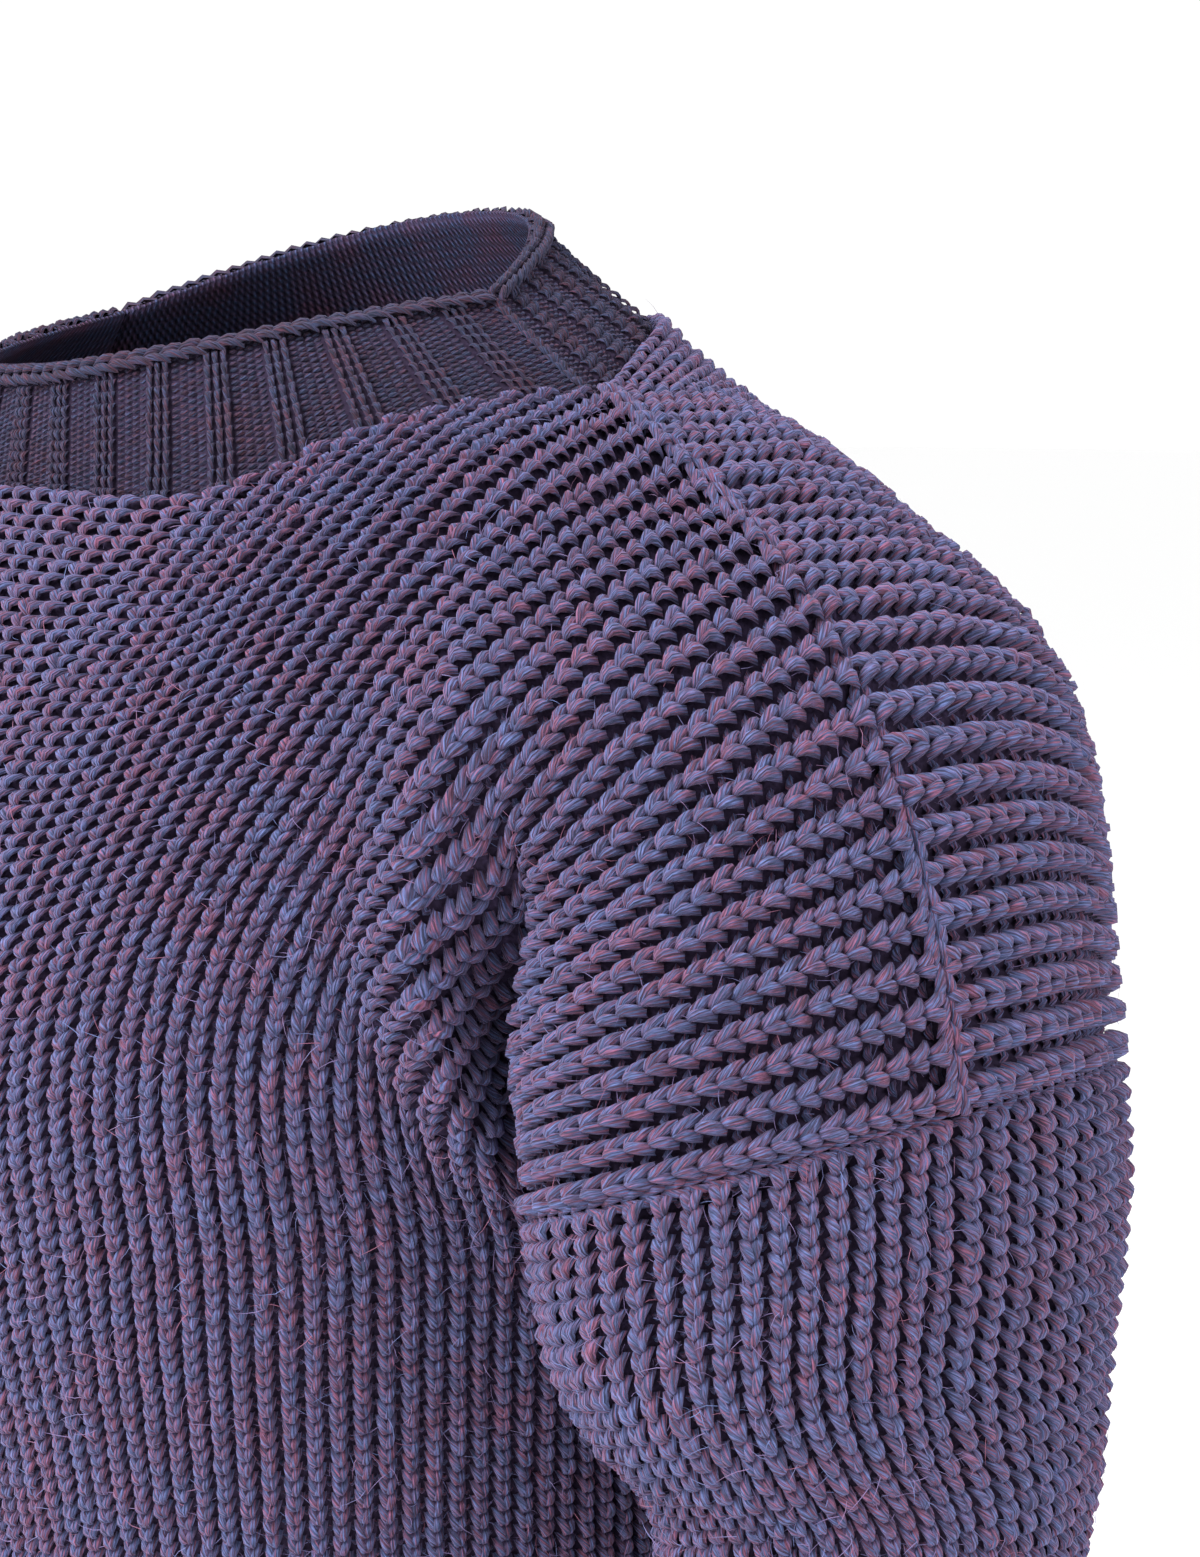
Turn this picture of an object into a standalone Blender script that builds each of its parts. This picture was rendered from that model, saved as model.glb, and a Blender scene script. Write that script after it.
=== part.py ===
"""A fisherman sweater in its worn form: two drop-shoulder panels in fisherman's rib, two rib sleeves and a
two-piece neckband. Every piece is a hollow knitted wall, shaped on a general figure that is itself left out.
Metres, +Z up, front towards -Y, the wearer's left towards +X. The origin is where the shoulders carry it."""

import math

import bpy
import numpy as np

# Sizes of the knit
SEAM_GAP = 0.0004
RIB_WIDTH = 0.0068
EASED_RIBS = 6
WALL = 0.0026
RIB_RISE = 0.0022
BAND_WALL = 0.0024
BAND_RIB_RISE = 0.0010
PANEL_RIBS_HALF = 44
NECK_RIBS_HALF = 20
SLEEVE_RIBS_HALF = 30
BAND_RIBS_HALF = 20

# Sizes of the garment on its figure
HEM_Z = -0.600
UNDERARM_Z = -0.285
TORSO_POWER = 2.3
ARMPIT_BLEND = 0.028
SHOULDER_BLEND = 0.060
EDGE_REACH = 1.8

# Half sections of the worn body, from the hem up to the neck
TORSO_COLUMNS = ("z", "half_width", "centre_y", "front", "back")
TORSO_SECTIONS = (
    (-0.620, 0.190, -0.002, 0.132, 0.126),
    (-0.520, 0.184, -0.002, 0.122, 0.122),
    (-0.400, 0.172, -0.002, 0.114, 0.114),
    (-0.300, 0.166, -0.002, 0.125, 0.110),
    (-0.225, 0.168, -0.002, 0.144, 0.114),
    (-0.165, 0.173, -0.002, 0.146, 0.118),
    (-0.110, 0.180, 0.004, 0.131, 0.118),
    (-0.080, 0.182, 0.010, 0.121, 0.110),
    (-0.055, 0.177, 0.018, 0.112, 0.100),
    (-0.035, 0.160, 0.026, 0.106, 0.088),
    (-0.020, 0.126, 0.030, 0.100, 0.076),
    (-0.005, 0.102, 0.032, 0.092, 0.065),
    (0.012, 0.078, 0.030, 0.080, 0.055),
    (0.040, 0.066, 0.028, 0.070, 0.048),
)

# Level sections of the worn sleeve, from the wrist up to the round of the shoulder
ARM_COLUMNS = ("z", "centre_x", "centre_y", "half_x", "half_y")
ARM_SECTIONS = (
    (-0.600, 0.300, -0.085, 0.036, 0.038),
    (-0.540, 0.292, -0.070, 0.037, 0.040),
    (-0.450, 0.274, -0.046, 0.039, 0.044),
    (-0.350, 0.256, -0.024, 0.039, 0.048),
    (-0.290, 0.249, -0.012, 0.0385, 0.050),
    (-0.272, 0.248, -0.007, 0.0385, 0.050),
    (-0.258, 0.2440, -0.0050, 0.0420, 0.054),
    (-0.245, 0.2405, -0.0075, 0.0435, 0.062),
    (-0.232, 0.2370, -0.0080, 0.0450, 0.069),
    (-0.205, 0.228, -0.002, 0.051, 0.074),
    (-0.165, 0.217, 0.004, 0.056, 0.073),
    (-0.110, 0.198, 0.020, 0.061, 0.068),
)
SHOULDER_CAP_Z = -0.110
SHOULDER_CAP_RISE = 0.060

# The armhole seam lies on a slanted plane round the arm
ARMHOLE_Z = -0.188
ARMHOLE_SLOPE_X = 0.30
ARMHOLE_SLOPE_Y = 0.08
UNDERARM_POINT = (0.1811, -0.242)
UNDERARM_FROM = math.radians(135)
UNDERARM_TO = math.radians(168)
UNDERARM_ROW = 0.25
UNDERARM_BEND_ROW = 0.1875
SEAM_END_ANGLE = math.radians(-12)
CUFF_Z = -0.575
CUFF_SLOPE_Y = -0.30

# The neck: where the panels end, and where the band ends above it
NECK_COLUMNS = (
    "half_width", "side_y", "side_z", "front", "front_drop", "front_power", "back", "back_rise", "back_power"
)
NECK_BASE = (0.125, 0.012, -0.021, 0.104, 0.017, 6.5, 0.076, 0.023, 2.3)
NECK_TOP = (0.0887, 0.004, 0.009, 0.084, 0.017, 2.6, 0.062, 0.028, 2.3)

# The shoulder seam, from the neck out and down the arm
SEAM_COLUMNS = ("x", "y", "z")
SEAM_POINTS = (
    (0.1250, 0.012, -0.021),
    (0.1695, 0.006, -0.031),
    (0.2232, -0.004, -0.060),
    (0.2589, -0.010, -0.100),
    (0.2770, -0.012, -0.145),
)

# Large folds of the panels in front of and behind the armpit, over the rows: the rib that a ridge or a
# crease follows, how wide it is in ribs and how far it stands out
FOLD_COLUMNS = ("row", "rib", "width", "rise")
FRONT_RIDGE = ((1.10, 35.0, 4.0, 0.0), (1.42, 32.5, 4.0, 0.010), (1.74, 27.5, 4.0, 0.0))
FRONT_CREASE = ((1.10, 40.0, 3.0, 0.0), (1.42, 37.0, 3.0, -0.009), (1.70, 33.0, 3.0, 0.0))
BACK_RIDGE = ((1.10, 33.0, 4.0, 0.0), (1.35, 32.0, 4.0, 0.006), (1.60, 30.0, 4.0, 0.0))
BACK_CREASE = ((1.10, 39.0, 3.5, 0.0), (1.35, 38.0, 3.5, -0.006), (1.60, 36.0, 3.5, 0.0))

KNIT_COLOUR = (0.105, 0.070, 0.145, 1.0)
COLUMN_SAMPLES = 49
BAND_EDGE = 0.0009
PANEL_ROWS = (0.0, 0.5, 1.0, 1.1875, 1.25, 1.36, 1.48, 1.60, 1.72, 1.86, 1.9996)
SLEEVE_ROWS = (0.0012, 0.07, 0.20, 0.40, 0.60, 0.80, 1.0)
BAND_ROWS = (0.004, 1.0)
ROW_ROUNDS = 4
FRONT_ROUNDS = 3
BACK_ROUNDS = 10


def column(table, names, name):
    """One named column of a table."""
    return np.array([row[names.index(name)] for row in table])


def through(at, keys, values):
    """A smooth curve through the values at the keys, straight beyond their ends."""
    slopes = np.gradient(values, keys)
    at = np.asarray(at, float)
    i = np.clip(np.searchsorted(keys, at) - 1, 0, len(keys) - 2)
    step = keys[i + 1] - keys[i]
    t = np.clip((at - keys[i]) / step, 0, 1)
    beyond = at - np.clip(at, keys[0], keys[-1])
    rise = values[i + 1] - values[i]
    ease = t * t * (3 - 2 * t)
    bow = slopes[i] * step * t * (1 - t) ** 2 - slopes[i + 1] * step * t * t * (1 - t)
    edge_slope = np.where(beyond < 0, slopes[0], slopes[-1])
    return values[i] + rise * ease + bow + beyond * edge_slope


def blend_rows(at, table):
    """Rows of a table at fractional row numbers."""
    low = np.clip(np.floor(at).astype(int), 0, len(table) - 2)
    part = (at - low).reshape(-1, *[1] * (table.ndim - 1))
    return table[low] * (1 - part) + table[low + 1] * part


def smoothstep(low, high, value):
    """0 below low, 1 above high, eased between."""
    t = np.clip((value - low) / (high - low), 0, 1)
    return t * t * (3 - 2 * t)


TORSO = {name: column(TORSO_SECTIONS, TORSO_COLUMNS, name) for name in TORSO_COLUMNS}
ARM = {name: column(ARM_SECTIONS, ARM_COLUMNS, name) for name in ARM_COLUMNS}


def torso_section(z, y):
    """Half width, centre and depth of the body section at a height, on y's side of the centre."""
    wide, centre, front, back = (through(z, TORSO["z"], TORSO[name]) for name in TORSO_COLUMNS[1:])
    return wide, centre, np.where(y < centre, front, back)


def torso_gap(p):
    """How far points lie outside the body, roughly, in metres."""
    wide, centre, deep = torso_section(p[..., 2], p[..., 1])
    wide, deep = np.maximum(wide, 0.02), np.maximum(deep, 0.02)
    away = np.abs(p[..., 1] - centre)
    ratio = (np.abs(p[..., 0]) / wide) ** TORSO_POWER + (away / deep) ** TORSO_POWER
    return (ratio ** (1 / TORSO_POWER) - 1) * np.minimum(wide, deep)


def arm_section(z):
    """Centre and half sizes of the sleeve at a height."""
    return tuple(through(z, ARM["z"], ARM[name]) for name in ARM_COLUMNS[1:])


def arm_gap(p):
    """How far points lie outside the arm on their own side, roughly, in metres."""
    z = p[..., 2]
    centre_x, centre_y, half_x, half_y = arm_section(z)
    rise = np.clip((z - SHOULDER_CAP_Z) / SHOULDER_CAP_RISE, 0, 0.999)
    cap = np.sqrt(1 - rise**2)
    half_x, half_y = half_x * cap, half_y * cap
    ratio = np.hypot((np.abs(p[..., 0]) - centre_x) / half_x, (p[..., 1] - centre_y) / half_y)
    return (ratio - 1) * np.minimum(half_x, half_y)


def figure_gap(p):
    """How far points lie outside body and arm together, with the armpit rounded."""
    torso, arm = torso_gap(p), arm_gap(p)
    up = smoothstep(-0.16, -0.08, p[..., 2])
    behind = smoothstep(0.02, 0.07, p[..., 1]) * smoothstep(-0.26, -0.17, p[..., 2])
    up = np.maximum(up, behind)
    blend = ARMPIT_BLEND + (SHOULDER_BLEND - ARMPIT_BLEND) * up
    near = np.maximum(blend - np.abs(torso - arm), 0) / blend
    return np.minimum(torso, arm) - near * near * blend / 4


def figure_slope(p):
    """The gradient of figure_gap."""
    reach = 2e-4
    parts = []
    for axis in np.eye(3):
        parts.append((figure_gap(p + reach * axis) - figure_gap(p - reach * axis)) / (2 * reach))
    return np.stack(parts, -1)


def settle(p, rounds=14):
    """Moves points onto the figure along its gradient."""
    p = np.array(p, float)
    for _ in range(rounds):
        slope = figure_slope(p)
        size = np.maximum((slope**2).sum(-1), 0.05)
        step = (figure_gap(p) / size)[..., None] * slope
        length = np.linalg.norm(step, axis=-1, keepdims=True)
        p -= step * np.minimum(1, 0.012 / np.maximum(length, 1e-9))
    return p


def outward(p):
    """Unit normals of the figure at points."""
    slope = figure_slope(p)
    return slope / np.linalg.norm(slope, axis=-1, keepdims=True)


def lengths(points):
    """Distance travelled along a line of points."""
    steps = np.linalg.norm(np.diff(points, axis=0), axis=1)
    return np.concatenate([[0], np.cumsum(steps)])


def spread(points, shares):
    """Points at shares of the length of a line of points."""
    run = lengths(points)
    return np.stack([np.interp(shares, run / run[-1], points[:, k]) for k in range(3)], -1)


def neck_line(size, face, shares):
    """Points of a neck edge from the centre (0) to the side corner (1); face is -1 in front, 1 behind."""
    half_width, side_y, side_z, front, drop, front_power, back, rise, back_power = size
    deep, high, power = (front, -drop, front_power) if face < 0 else (back, rise, back_power)
    x = half_width * np.sin(np.linspace(0, math.pi / 2, 60))
    bow = 1 - (x / half_width) ** power
    line = np.stack([x, side_y + face * deep * bow, side_z + high * bow], -1)
    return spread(line, shares)


def sleeve_ring(angles, z):
    """Points of the sleeve at angles round it, 0 outwards and -90 degrees in front, and their own heights."""
    centre_x, centre_y, half_x, half_y = arm_section(z)
    return np.stack([centre_x + half_x * np.cos(angles), centre_y + half_y * np.sin(angles), z], -1)


def armhole(angles):
    """The armhole seam at angles round the arm; on the inner side it follows the fold of the armpit."""
    z = np.full(np.shape(angles), ARMHOLE_Z)
    for _ in range(6):
        _, _, half_x, half_y = arm_section(z)
        slope_x, slope_y = ARMHOLE_SLOPE_X * half_x, ARMHOLE_SLOPE_Y * half_y
        z = ARMHOLE_Z + slope_x * np.cos(angles) + slope_y * np.sin(angles)
    guess = sleeve_ring(angles, z)
    under = smoothstep(UNDERARM_FROM, UNDERARM_TO, np.abs(angles))
    guess[..., 0] += (UNDERARM_POINT[0] - guess[..., 0]) * under
    guess[..., 2] += (UNDERARM_POINT[1] - guess[..., 2]) * under
    return settle(guess, 30)


def seam_line(shares):
    """The shoulder seam from the neck corner (0) to the armhole (1)."""
    end = armhole(np.array([SEAM_END_ANGLE]))[0]
    keys = np.array([*SEAM_POINTS, end])
    at = np.arange(len(keys), dtype=float)
    fine = np.linspace(0, at[-1], 80)
    line = settle(np.stack([through(fine, at, keys[:, k]) for k in range(3)], -1))
    for _ in range(12):
        line[1:-1] += 0.5 * (line[2:] + line[:-2] - 2 * line[1:-1])
        line[1:-1] = settle(line[1:-1], 3)
    for _ in range(80):
        line[1:-1] += 0.5 * (line[2:] + line[:-2] - 2 * line[1:-1])
    return spread(line, shares)


def top_line(face, u):
    """Where the ribs end above: the neck edge, then the shoulder seam. u runs 0 to 1 from centre to armhole."""
    corner = NECK_RIBS_HALF / PANEL_RIBS_HALF
    neck = settle(neck_line(NECK_BASE, face, np.clip(u / corner, 0, 1)))
    seam = seam_line(np.clip((u - corner) / (1 - corner), 0, 1))
    return np.where((u < corner)[:, None], neck, seam)


def level_line(face, u, z):
    """The body section at height z, from its centre (0) to the side seam (1)."""
    angle = np.linspace(0, math.pi / 2, 160)
    wide, centre, deep = torso_section(z, np.array(face * 9.0))
    power = 2 / TORSO_POWER
    x = wide * np.sin(angle) ** power
    y = centre + face * deep * np.cos(angle) ** power
    return spread(np.stack([x, y, np.full_like(x, z)], -1), u)


def armhole_half(face, shares):
    """One half of the armhole seam at shares from the underarm (0) to the shoulder seam (1), with its angles."""
    turns = np.linspace(face * math.pi, SEAM_END_ANGLE, 240)
    points = armhole(turns)
    for _ in range(60):
        points[1:-1] += 0.5 * (points[2:] + points[:-2] - 2 * points[1:-1])
    run = lengths(points)
    return spread(points, shares), np.interp(shares, run / run[-1], turns)


def armhole_edge(face, rows):
    """The panel's outer edge over rows 0 to 1: up the side to the underarm, then round the armhole."""
    side = level_line(face, np.array([1.0]), UNDERARM_Z)[0]
    ring, _ = armhole_half(face, np.clip((rows - UNDERARM_ROW) / (1 - UNDERARM_ROW), 0, 1))
    bend = np.array([side[0] + 0.002, side[1], ring[0, 2] - 0.010])
    path = np.stack([side, bend, ring[0]])
    rise = np.interp(rows, (0, UNDERARM_BEND_ROW, UNDERARM_ROW), (0, 1, 2))
    below = blend_rows(rise, path)
    return np.where((rows < UNDERARM_ROW)[:, None], below, ring)


def upper_columns(face, u):
    """Each rib's way from the underarm level to the top line, as points on the figure: [rib, sample, 3]."""
    low, high = level_line(face, u, UNDERARM_Z), top_line(face, u)
    t = np.linspace(0, 1, COLUMN_SAMPLES)
    edge = armhole_edge(face, t)
    middle = low[:1] + (high[:1] - low[:1]) * t[:, None]
    share = (u**EDGE_REACH)[:, None, None]
    sides = (1 - share) * middle + share * edge
    ends = (1 - t)[None, :, None] * low[:, None] + t[None, :, None] * high[:, None]
    straight = (1 - t)[:, None] * low[-1] + t[:, None] * high[-1]
    grid = settle(sides + ends - (1 - share) * middle - share * straight)
    wanted = lengths(high)
    wanted = wanted / wanted[-1]
    for _ in range(ROW_ROUNDS):
        for i in range(1, COLUMN_SAMPLES - 1):
            fair = t[i] * wanted + (1 - t[i]) * u
            run = lengths(grid[:, i])
            shares = 0.5 * fair + 0.5 * run / run[-1]
            grid[:, i] = spread(grid[:, i], shares)
        for _ in range(6):
            grid[1:-1, 1:-1] += 0.25 * (grid[1:-1, 2:] + grid[1:-1, :-2] - 2 * grid[1:-1, 1:-1])
        grid[1:-1, 1:-1] = settle(grid[1:-1, 1:-1], 6)
    return bridge_armpit(grid, u, t)


def bridge_armpit(grid, u, t):
    """Carries the last ribs straight over to the armhole seam where the armpit is tight."""
    ribs = u * PANEL_RIBS_HALF
    first = int(np.argmin(np.abs(ribs - (PANEL_RIBS_HALF - EASED_RIBS))))
    run = (ribs[first:] - ribs[first]) / (ribs[-1] - ribs[first])
    start, end = grid[first], grid[-1]
    steer = start + (start - grid[first - 1]) * 0.5 * (len(run) - 1)
    share = run[:, None, None]
    bridge = start * (1 - share) ** 2 + 2 * steer * share * (1 - share) + end * share**2
    weight = (smoothstep(0.10, 0.20, t) * (1 - smoothstep(0.6, 0.8, t)))[None, :, None]
    grid[first:] = grid[first:] * (1 - weight) + bridge * weight
    return grid


def upper_surface(face):
    """The upper panel as a relaxed cloth: points and outward normals on whole ribs. [rib, sample, 3]."""
    grid = upper_columns(face, np.linspace(0, 1, PANEL_RIBS_HALF + 1))
    normals = outward(grid)
    for _ in range(FRONT_ROUNDS if face < 0 else BACK_ROUNDS):
        for field in (grid, normals):
            around = field[2:, 1:-1] + field[:-2, 1:-1] + field[1:-1, 2:] + field[1:-1, :-2]
            field[1:-1, 1:-1] += 0.2 * (around - 4 * field[1:-1, 1:-1])
    return grid, normals / np.linalg.norm(normals, axis=-1, keepdims=True)


def eased_normals(normals, ribs):
    """Lets the normals turn evenly over the last ribs before the armhole, where the armpit folds tightly."""
    first = PANEL_RIBS_HALF - EASED_RIBS
    for part in (slice(0, len(ribs) // 2), slice(len(ribs) // 2, len(ribs))):
        mine, near = ribs[part], normals[:, part]
        edge, start = near[:, [np.argmax(mine)]], near[:, [np.argmin(np.abs(mine - first))]]
        share = np.clip((mine - first) / EASED_RIBS, 0, 1)[None, :, None]
        eased = start * (1 - share) + edge * share
        normals[:, part] = np.where(share > 0, eased, near)
    return normals / np.linalg.norm(normals, axis=-1, keepdims=True)


def fold_rise(face, rib, row):
    """How far the panel's folds move it out at a rib and a row."""
    rise = np.zeros(np.broadcast(rib, row).shape)
    for fold in (FRONT_RIDGE, FRONT_CREASE) if face < 0 else (BACK_RIDGE, BACK_CREASE):
        keys, middle, width, height = (column(fold, FOLD_COLUMNS, name) for name in FOLD_COLUMNS)
        way = (rib - np.interp(row, keys, middle)) / np.interp(row, keys, width)
        strength = smoothstep(keys[0], keys[1], row) * (1 - smoothstep(keys[1], keys[2], row))
        rise = rise + height[1] * strength * np.exp(-(way**2))
    return rise * (1 - smoothstep(PANEL_RIBS_HALF - 5, PANEL_RIBS_HALF - 1, rib))


def panel_points(face, ribs, rows):
    """Points of a panel's inner side and their outward normals. ribs are rib numbers from the centre, negative on
    the wearer's right; rows run from 0 at the hem through 1 below the arm to 2 at the top line. [row, rib, 3]."""
    ribs, rows = np.asarray(ribs, float), np.asarray(rows, float)
    u = np.abs(ribs) / PANEL_RIBS_HALF
    whole, whole_normals = upper_surface(face)
    upper = blend_rows(u * PANEL_RIBS_HALF, whole).swapaxes(0, 1)
    upper_normals = blend_rows(u * PANEL_RIBS_HALF, whole_normals).swapaxes(0, 1)
    out, normals = np.empty((len(rows), len(u), 3)), np.empty((len(rows), len(u), 3))
    for i, row in enumerate(rows):
        if row < 1:
            out[i] = level_line(face, u, HEM_Z + (UNDERARM_Z - HEM_Z) * row)
            normals[i] = outward(out[i])
        else:
            at = np.array([(row - 1) * (COLUMN_SAMPLES - 1)])
            out[i], normals[i] = blend_rows(at, upper)[0], blend_rows(at, upper_normals)[0]
    ends = [j for j in (0, len(u) - 1) if u[j] > 0.99]
    above = rows >= 1
    seam_normals = outward(armhole_edge(face, rows[above] - 1))
    for j in ends:
        normals[above, j] = seam_normals
        inwards = out[:, 1 if j == 0 else j - 1] - out[:, j]
        inwards[rows < 1.01 + UNDERARM_ROW] = (0, face, 0)
        inwards /= np.linalg.norm(inwards, axis=1, keepdims=True)
        out[:, j] += inwards * SEAM_GAP / 2
    normals = eased_normals(normals, np.abs(ribs))
    rib_grid, row_grid = np.abs(ribs)[None, :], rows[:, None]
    step = 0.05
    slope_rib = (
        fold_rise(face, rib_grid + step, row_grid) - fold_rise(face, rib_grid - step, row_grid)
    ) / (2 * step * RIB_WIDTH)
    across = np.gradient(out, axis=1) * np.where(ribs < 0, -1.0, 1.0)[None, :, None]
    across /= np.maximum(np.linalg.norm(across, axis=-1, keepdims=True), 1e-9)
    across *= np.where(ribs < 0, -1.0, 1.0)[None, :, None]
    out = out + normals * fold_rise(face, rib_grid, row_grid)[..., None]
    normals = normals - across * slope_rib[..., None]
    normals /= np.linalg.norm(normals, axis=-1, keepdims=True)
    flip = np.where(ribs < 0, -1.0, 1.0)[None, :]
    out[..., 0] *= flip
    normals[..., 0] *= flip
    return out, normals


def sleeve_points(ribs, rows):
    """Points of the left sleeve's inner side and their outward normals. ribs are rib numbers from the top of the
    sleeve, positive towards the back; rows run from 0 at the armhole to 1 at the cuff. [row, rib, 3]."""
    ribs, rows = np.asarray(ribs, float), np.asarray(rows, float)[:, None]
    shares = 1 - np.abs(ribs) / SLEEVE_RIBS_HALF
    rows_met = np.array([row - 1 for row in PANEL_ROWS if row > 0.999 + UNDERARM_ROW])
    knots = (rows_met - UNDERARM_ROW) / (1 - UNDERARM_ROW)
    top, hold_normals = np.empty((len(ribs), 3)), np.empty((len(ribs), 3))
    angles = np.empty(len(ribs))
    for face in (-1, 1):
        mine = ribs < 0 if face < 0 else ribs >= 0
        _, angles[mine] = armhole_half(face, shares[mine])
        edge = armhole_edge(face, np.linspace(0, 1, COLUMN_SAMPLES))
        points = blend_rows(rows_met * (COLUMN_SAMPLES - 1), edge)
        away = outward(points)
        for k in range(3):
            top[mine, k] = np.interp(shares[mine], knots, points[:, k])
            hold_normals[mine, k] = np.interp(shares[mine], knots, away[:, k])
    z = top[:, 2] * (1 - rows) + (CUFF_Z + CUFF_SLOPE_Y * 0.04 * np.sin(angles)) * rows
    out = sleeve_ring(np.broadcast_to(angles, z.shape), z)
    fade = (np.clip(1 - rows * 5.0, 0, 1) ** 2)[..., None]
    out = out + fade * (top - sleeve_ring(angles, top[:, 2]))
    along, round_arm = np.gradient(out, axis=0), np.gradient(out, axis=1)
    round_arm[:, 0] = round_arm[:, -1] = out[:, 1] - out[:, -2]
    normals = np.cross(along, round_arm)
    normals /= np.linalg.norm(normals, axis=-1, keepdims=True)
    hold = (np.clip(1 - rows * 12.0, 0, 1) ** 2)[..., None]
    normals = normals * (1 - hold) + hold_normals * hold
    return out, normals / np.linalg.norm(normals, axis=-1, keepdims=True)


def band_points(face, shares, rows):
    """Points of the neckband's inner side and their outward normals: shares from -1 to 1 between its corners,
    rows from 0 at the panel to 1 at the bound-off edge. [row, share, 3]."""
    shares = np.asarray(shares, float)
    side = np.where(shares < 0, -1.0, 1.0)
    base = settle(neck_line(NECK_BASE, face, np.abs(shares)))
    top = neck_line(NECK_TOP, face, np.abs(shares))
    rows = np.asarray(rows, float)[:, None, None]
    out = base * (1 - rows) + top * rows
    ahead, behind = np.minimum(np.abs(shares) + 0.02, 1), np.maximum(np.abs(shares) - 0.02, 0)
    way = neck_line(NECK_TOP, face, ahead) - neck_line(NECK_TOP, face, behind)
    normals = face * np.cross(top - base, way)
    normals /= np.linalg.norm(normals, axis=-1, keepdims=True)
    hold = (1 - np.clip(rows / 0.35, 0, 1)) ** 2
    normals = normals * (1 - hold) + outward(base) * hold
    normals = normals / np.linalg.norm(normals, axis=-1, keepdims=True)
    out[..., 0] *= side
    normals[..., 0] *= side
    return out, normals


def wall_object(name, points, normals, heights, closed, flip):
    """A knitted wall as one closed solid: plain inside on every second column, ribbed outside on all of them.
    points and normals are [row, column, 3]; heights are the outer side's distances for each column."""
    outer = points + normals * heights[..., None]
    inner = points[:, ::2]
    if closed:
        outer, inner = outer[:, :-1], inner[:, :-1]
    row_count, fine = outer.shape[:2]
    coarse = inner.shape[1]
    start = row_count * fine
    vertices = np.concatenate([outer.reshape(-1, 3), inner.reshape(-1, 3)])
    faces = []
    fine_steps = fine if closed else fine - 1
    coarse_steps = coarse if closed else coarse - 1
    for i in range(row_count - 1):
        for j in range(fine_steps):
            a, b = i * fine + j, i * fine + (j + 1) % fine
            faces.append((a, b, b + fine, a + fine))
        for j in range(coarse_steps):
            a, b = start + i * coarse + j, start + i * coarse + (j + 1) % coarse
            faces.append((a, a + coarse, b + coarse, b))
    for i, order in ((0, 1), (row_count - 1, -1)):
        for j in range(coarse_steps):
            a, b = start + i * coarse + j, start + i * coarse + (j + 1) % coarse
            first, middle, last = (i * fine + (2 * j + k) % fine for k in range(3))
            for face in ((a, middle, first), (a, b, middle), (b, last, middle)):
                faces.append(face[::order])
    if not closed:
        for i in range(row_count - 1):
            a, c = i * fine, start + i * coarse
            faces.append((a, a + fine, c + coarse, c))
            a, c = i * fine + fine - 1, start + i * coarse + coarse - 1
            faces.append((c, c + coarse, a + fine, a))
    if flip:
        faces = [face[::-1] for face in faces]
    mesh = bpy.data.meshes.new(name)
    mesh.from_pydata([tuple(v) for v in vertices], [], faces)
    mesh.update()
    piece = bpy.data.objects.new(name, mesh)
    bpy.context.scene.collection.objects.link(piece)
    material = bpy.data.materials.new(name + "_knit")
    material.use_nodes = True
    shader = material.node_tree.nodes["Principled BSDF"]
    shader.inputs["Base Color"].default_value = KNIT_COLOUR
    shader.inputs["Roughness"].default_value = 0.9
    mesh.materials.append(material)
    return piece


def rib_heights(count, wall, rise):
    """Outer heights of the columns: rib valleys on the even ones, rib tops on the odd ones."""
    return wall + rise * (np.arange(count) % 2)


def make_panel(name, face):
    """One body panel from hem to shoulder."""
    ribs = np.linspace(-PANEL_RIBS_HALF, PANEL_RIBS_HALF, 4 * PANEL_RIBS_HALF + 1)
    rows = np.array(PANEL_ROWS)
    points, normals = panel_points(face, ribs, rows)
    heights = np.tile(rib_heights(len(ribs), WALL, RIB_RISE), (len(rows), 1))
    wall_object(name, points, normals, heights, False, face > 0)


def make_sleeve(name, side):
    """One sleeve from the armhole to the cuff."""
    ribs = np.linspace(-SLEEVE_RIBS_HALF, SLEEVE_RIBS_HALF, 4 * SLEEVE_RIBS_HALF + 1)
    rows = np.array(SLEEVE_ROWS)
    points, normals = sleeve_points(ribs, rows)
    points[..., 0] *= side
    normals[..., 0] *= side
    heights = np.tile(rib_heights(len(ribs), WALL, RIB_RISE), (len(rows), 1))
    wall_object(name, points, normals, heights, True, side > 0)


def make_band(name, face):
    """One half of the neckband, from shoulder corner to shoulder corner."""
    shares = np.linspace(-1, 1, 4 * BAND_RIBS_HALF + 1)
    shares[0] += BAND_EDGE
    shares[-1] -= BAND_EDGE
    rows = np.array(BAND_ROWS)
    points, normals = band_points(face, shares, rows)
    raised = BAND_WALL + BAND_RIB_RISE * (np.arange(len(shares)) % 4 == 1)
    heights = np.tile(raised, (len(rows), 1))
    wall_object(name, points, normals, heights, False, face > 0)


def main():
    """Clears the file and makes the sweater's pieces."""
    for item in list(bpy.data.objects):
        bpy.data.objects.remove(item)
    make_panel("front", -1)
    make_panel("back", 1)
    make_sleeve("sleeve_left", 1)
    make_sleeve("sleeve_right", -1)
    make_band("neckband_front", -1)
    make_band("neckband_back", 1)


if __name__ == "__main__":
    main()
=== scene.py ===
"""The looks of a fisherman sweater in its worn form, over the solids of its frame: every stitch of the ribbed
panels, sleeves and neckband is laid as its own strand of yarn on the same surfaces that the solids follow."""

import functools
import math

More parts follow.
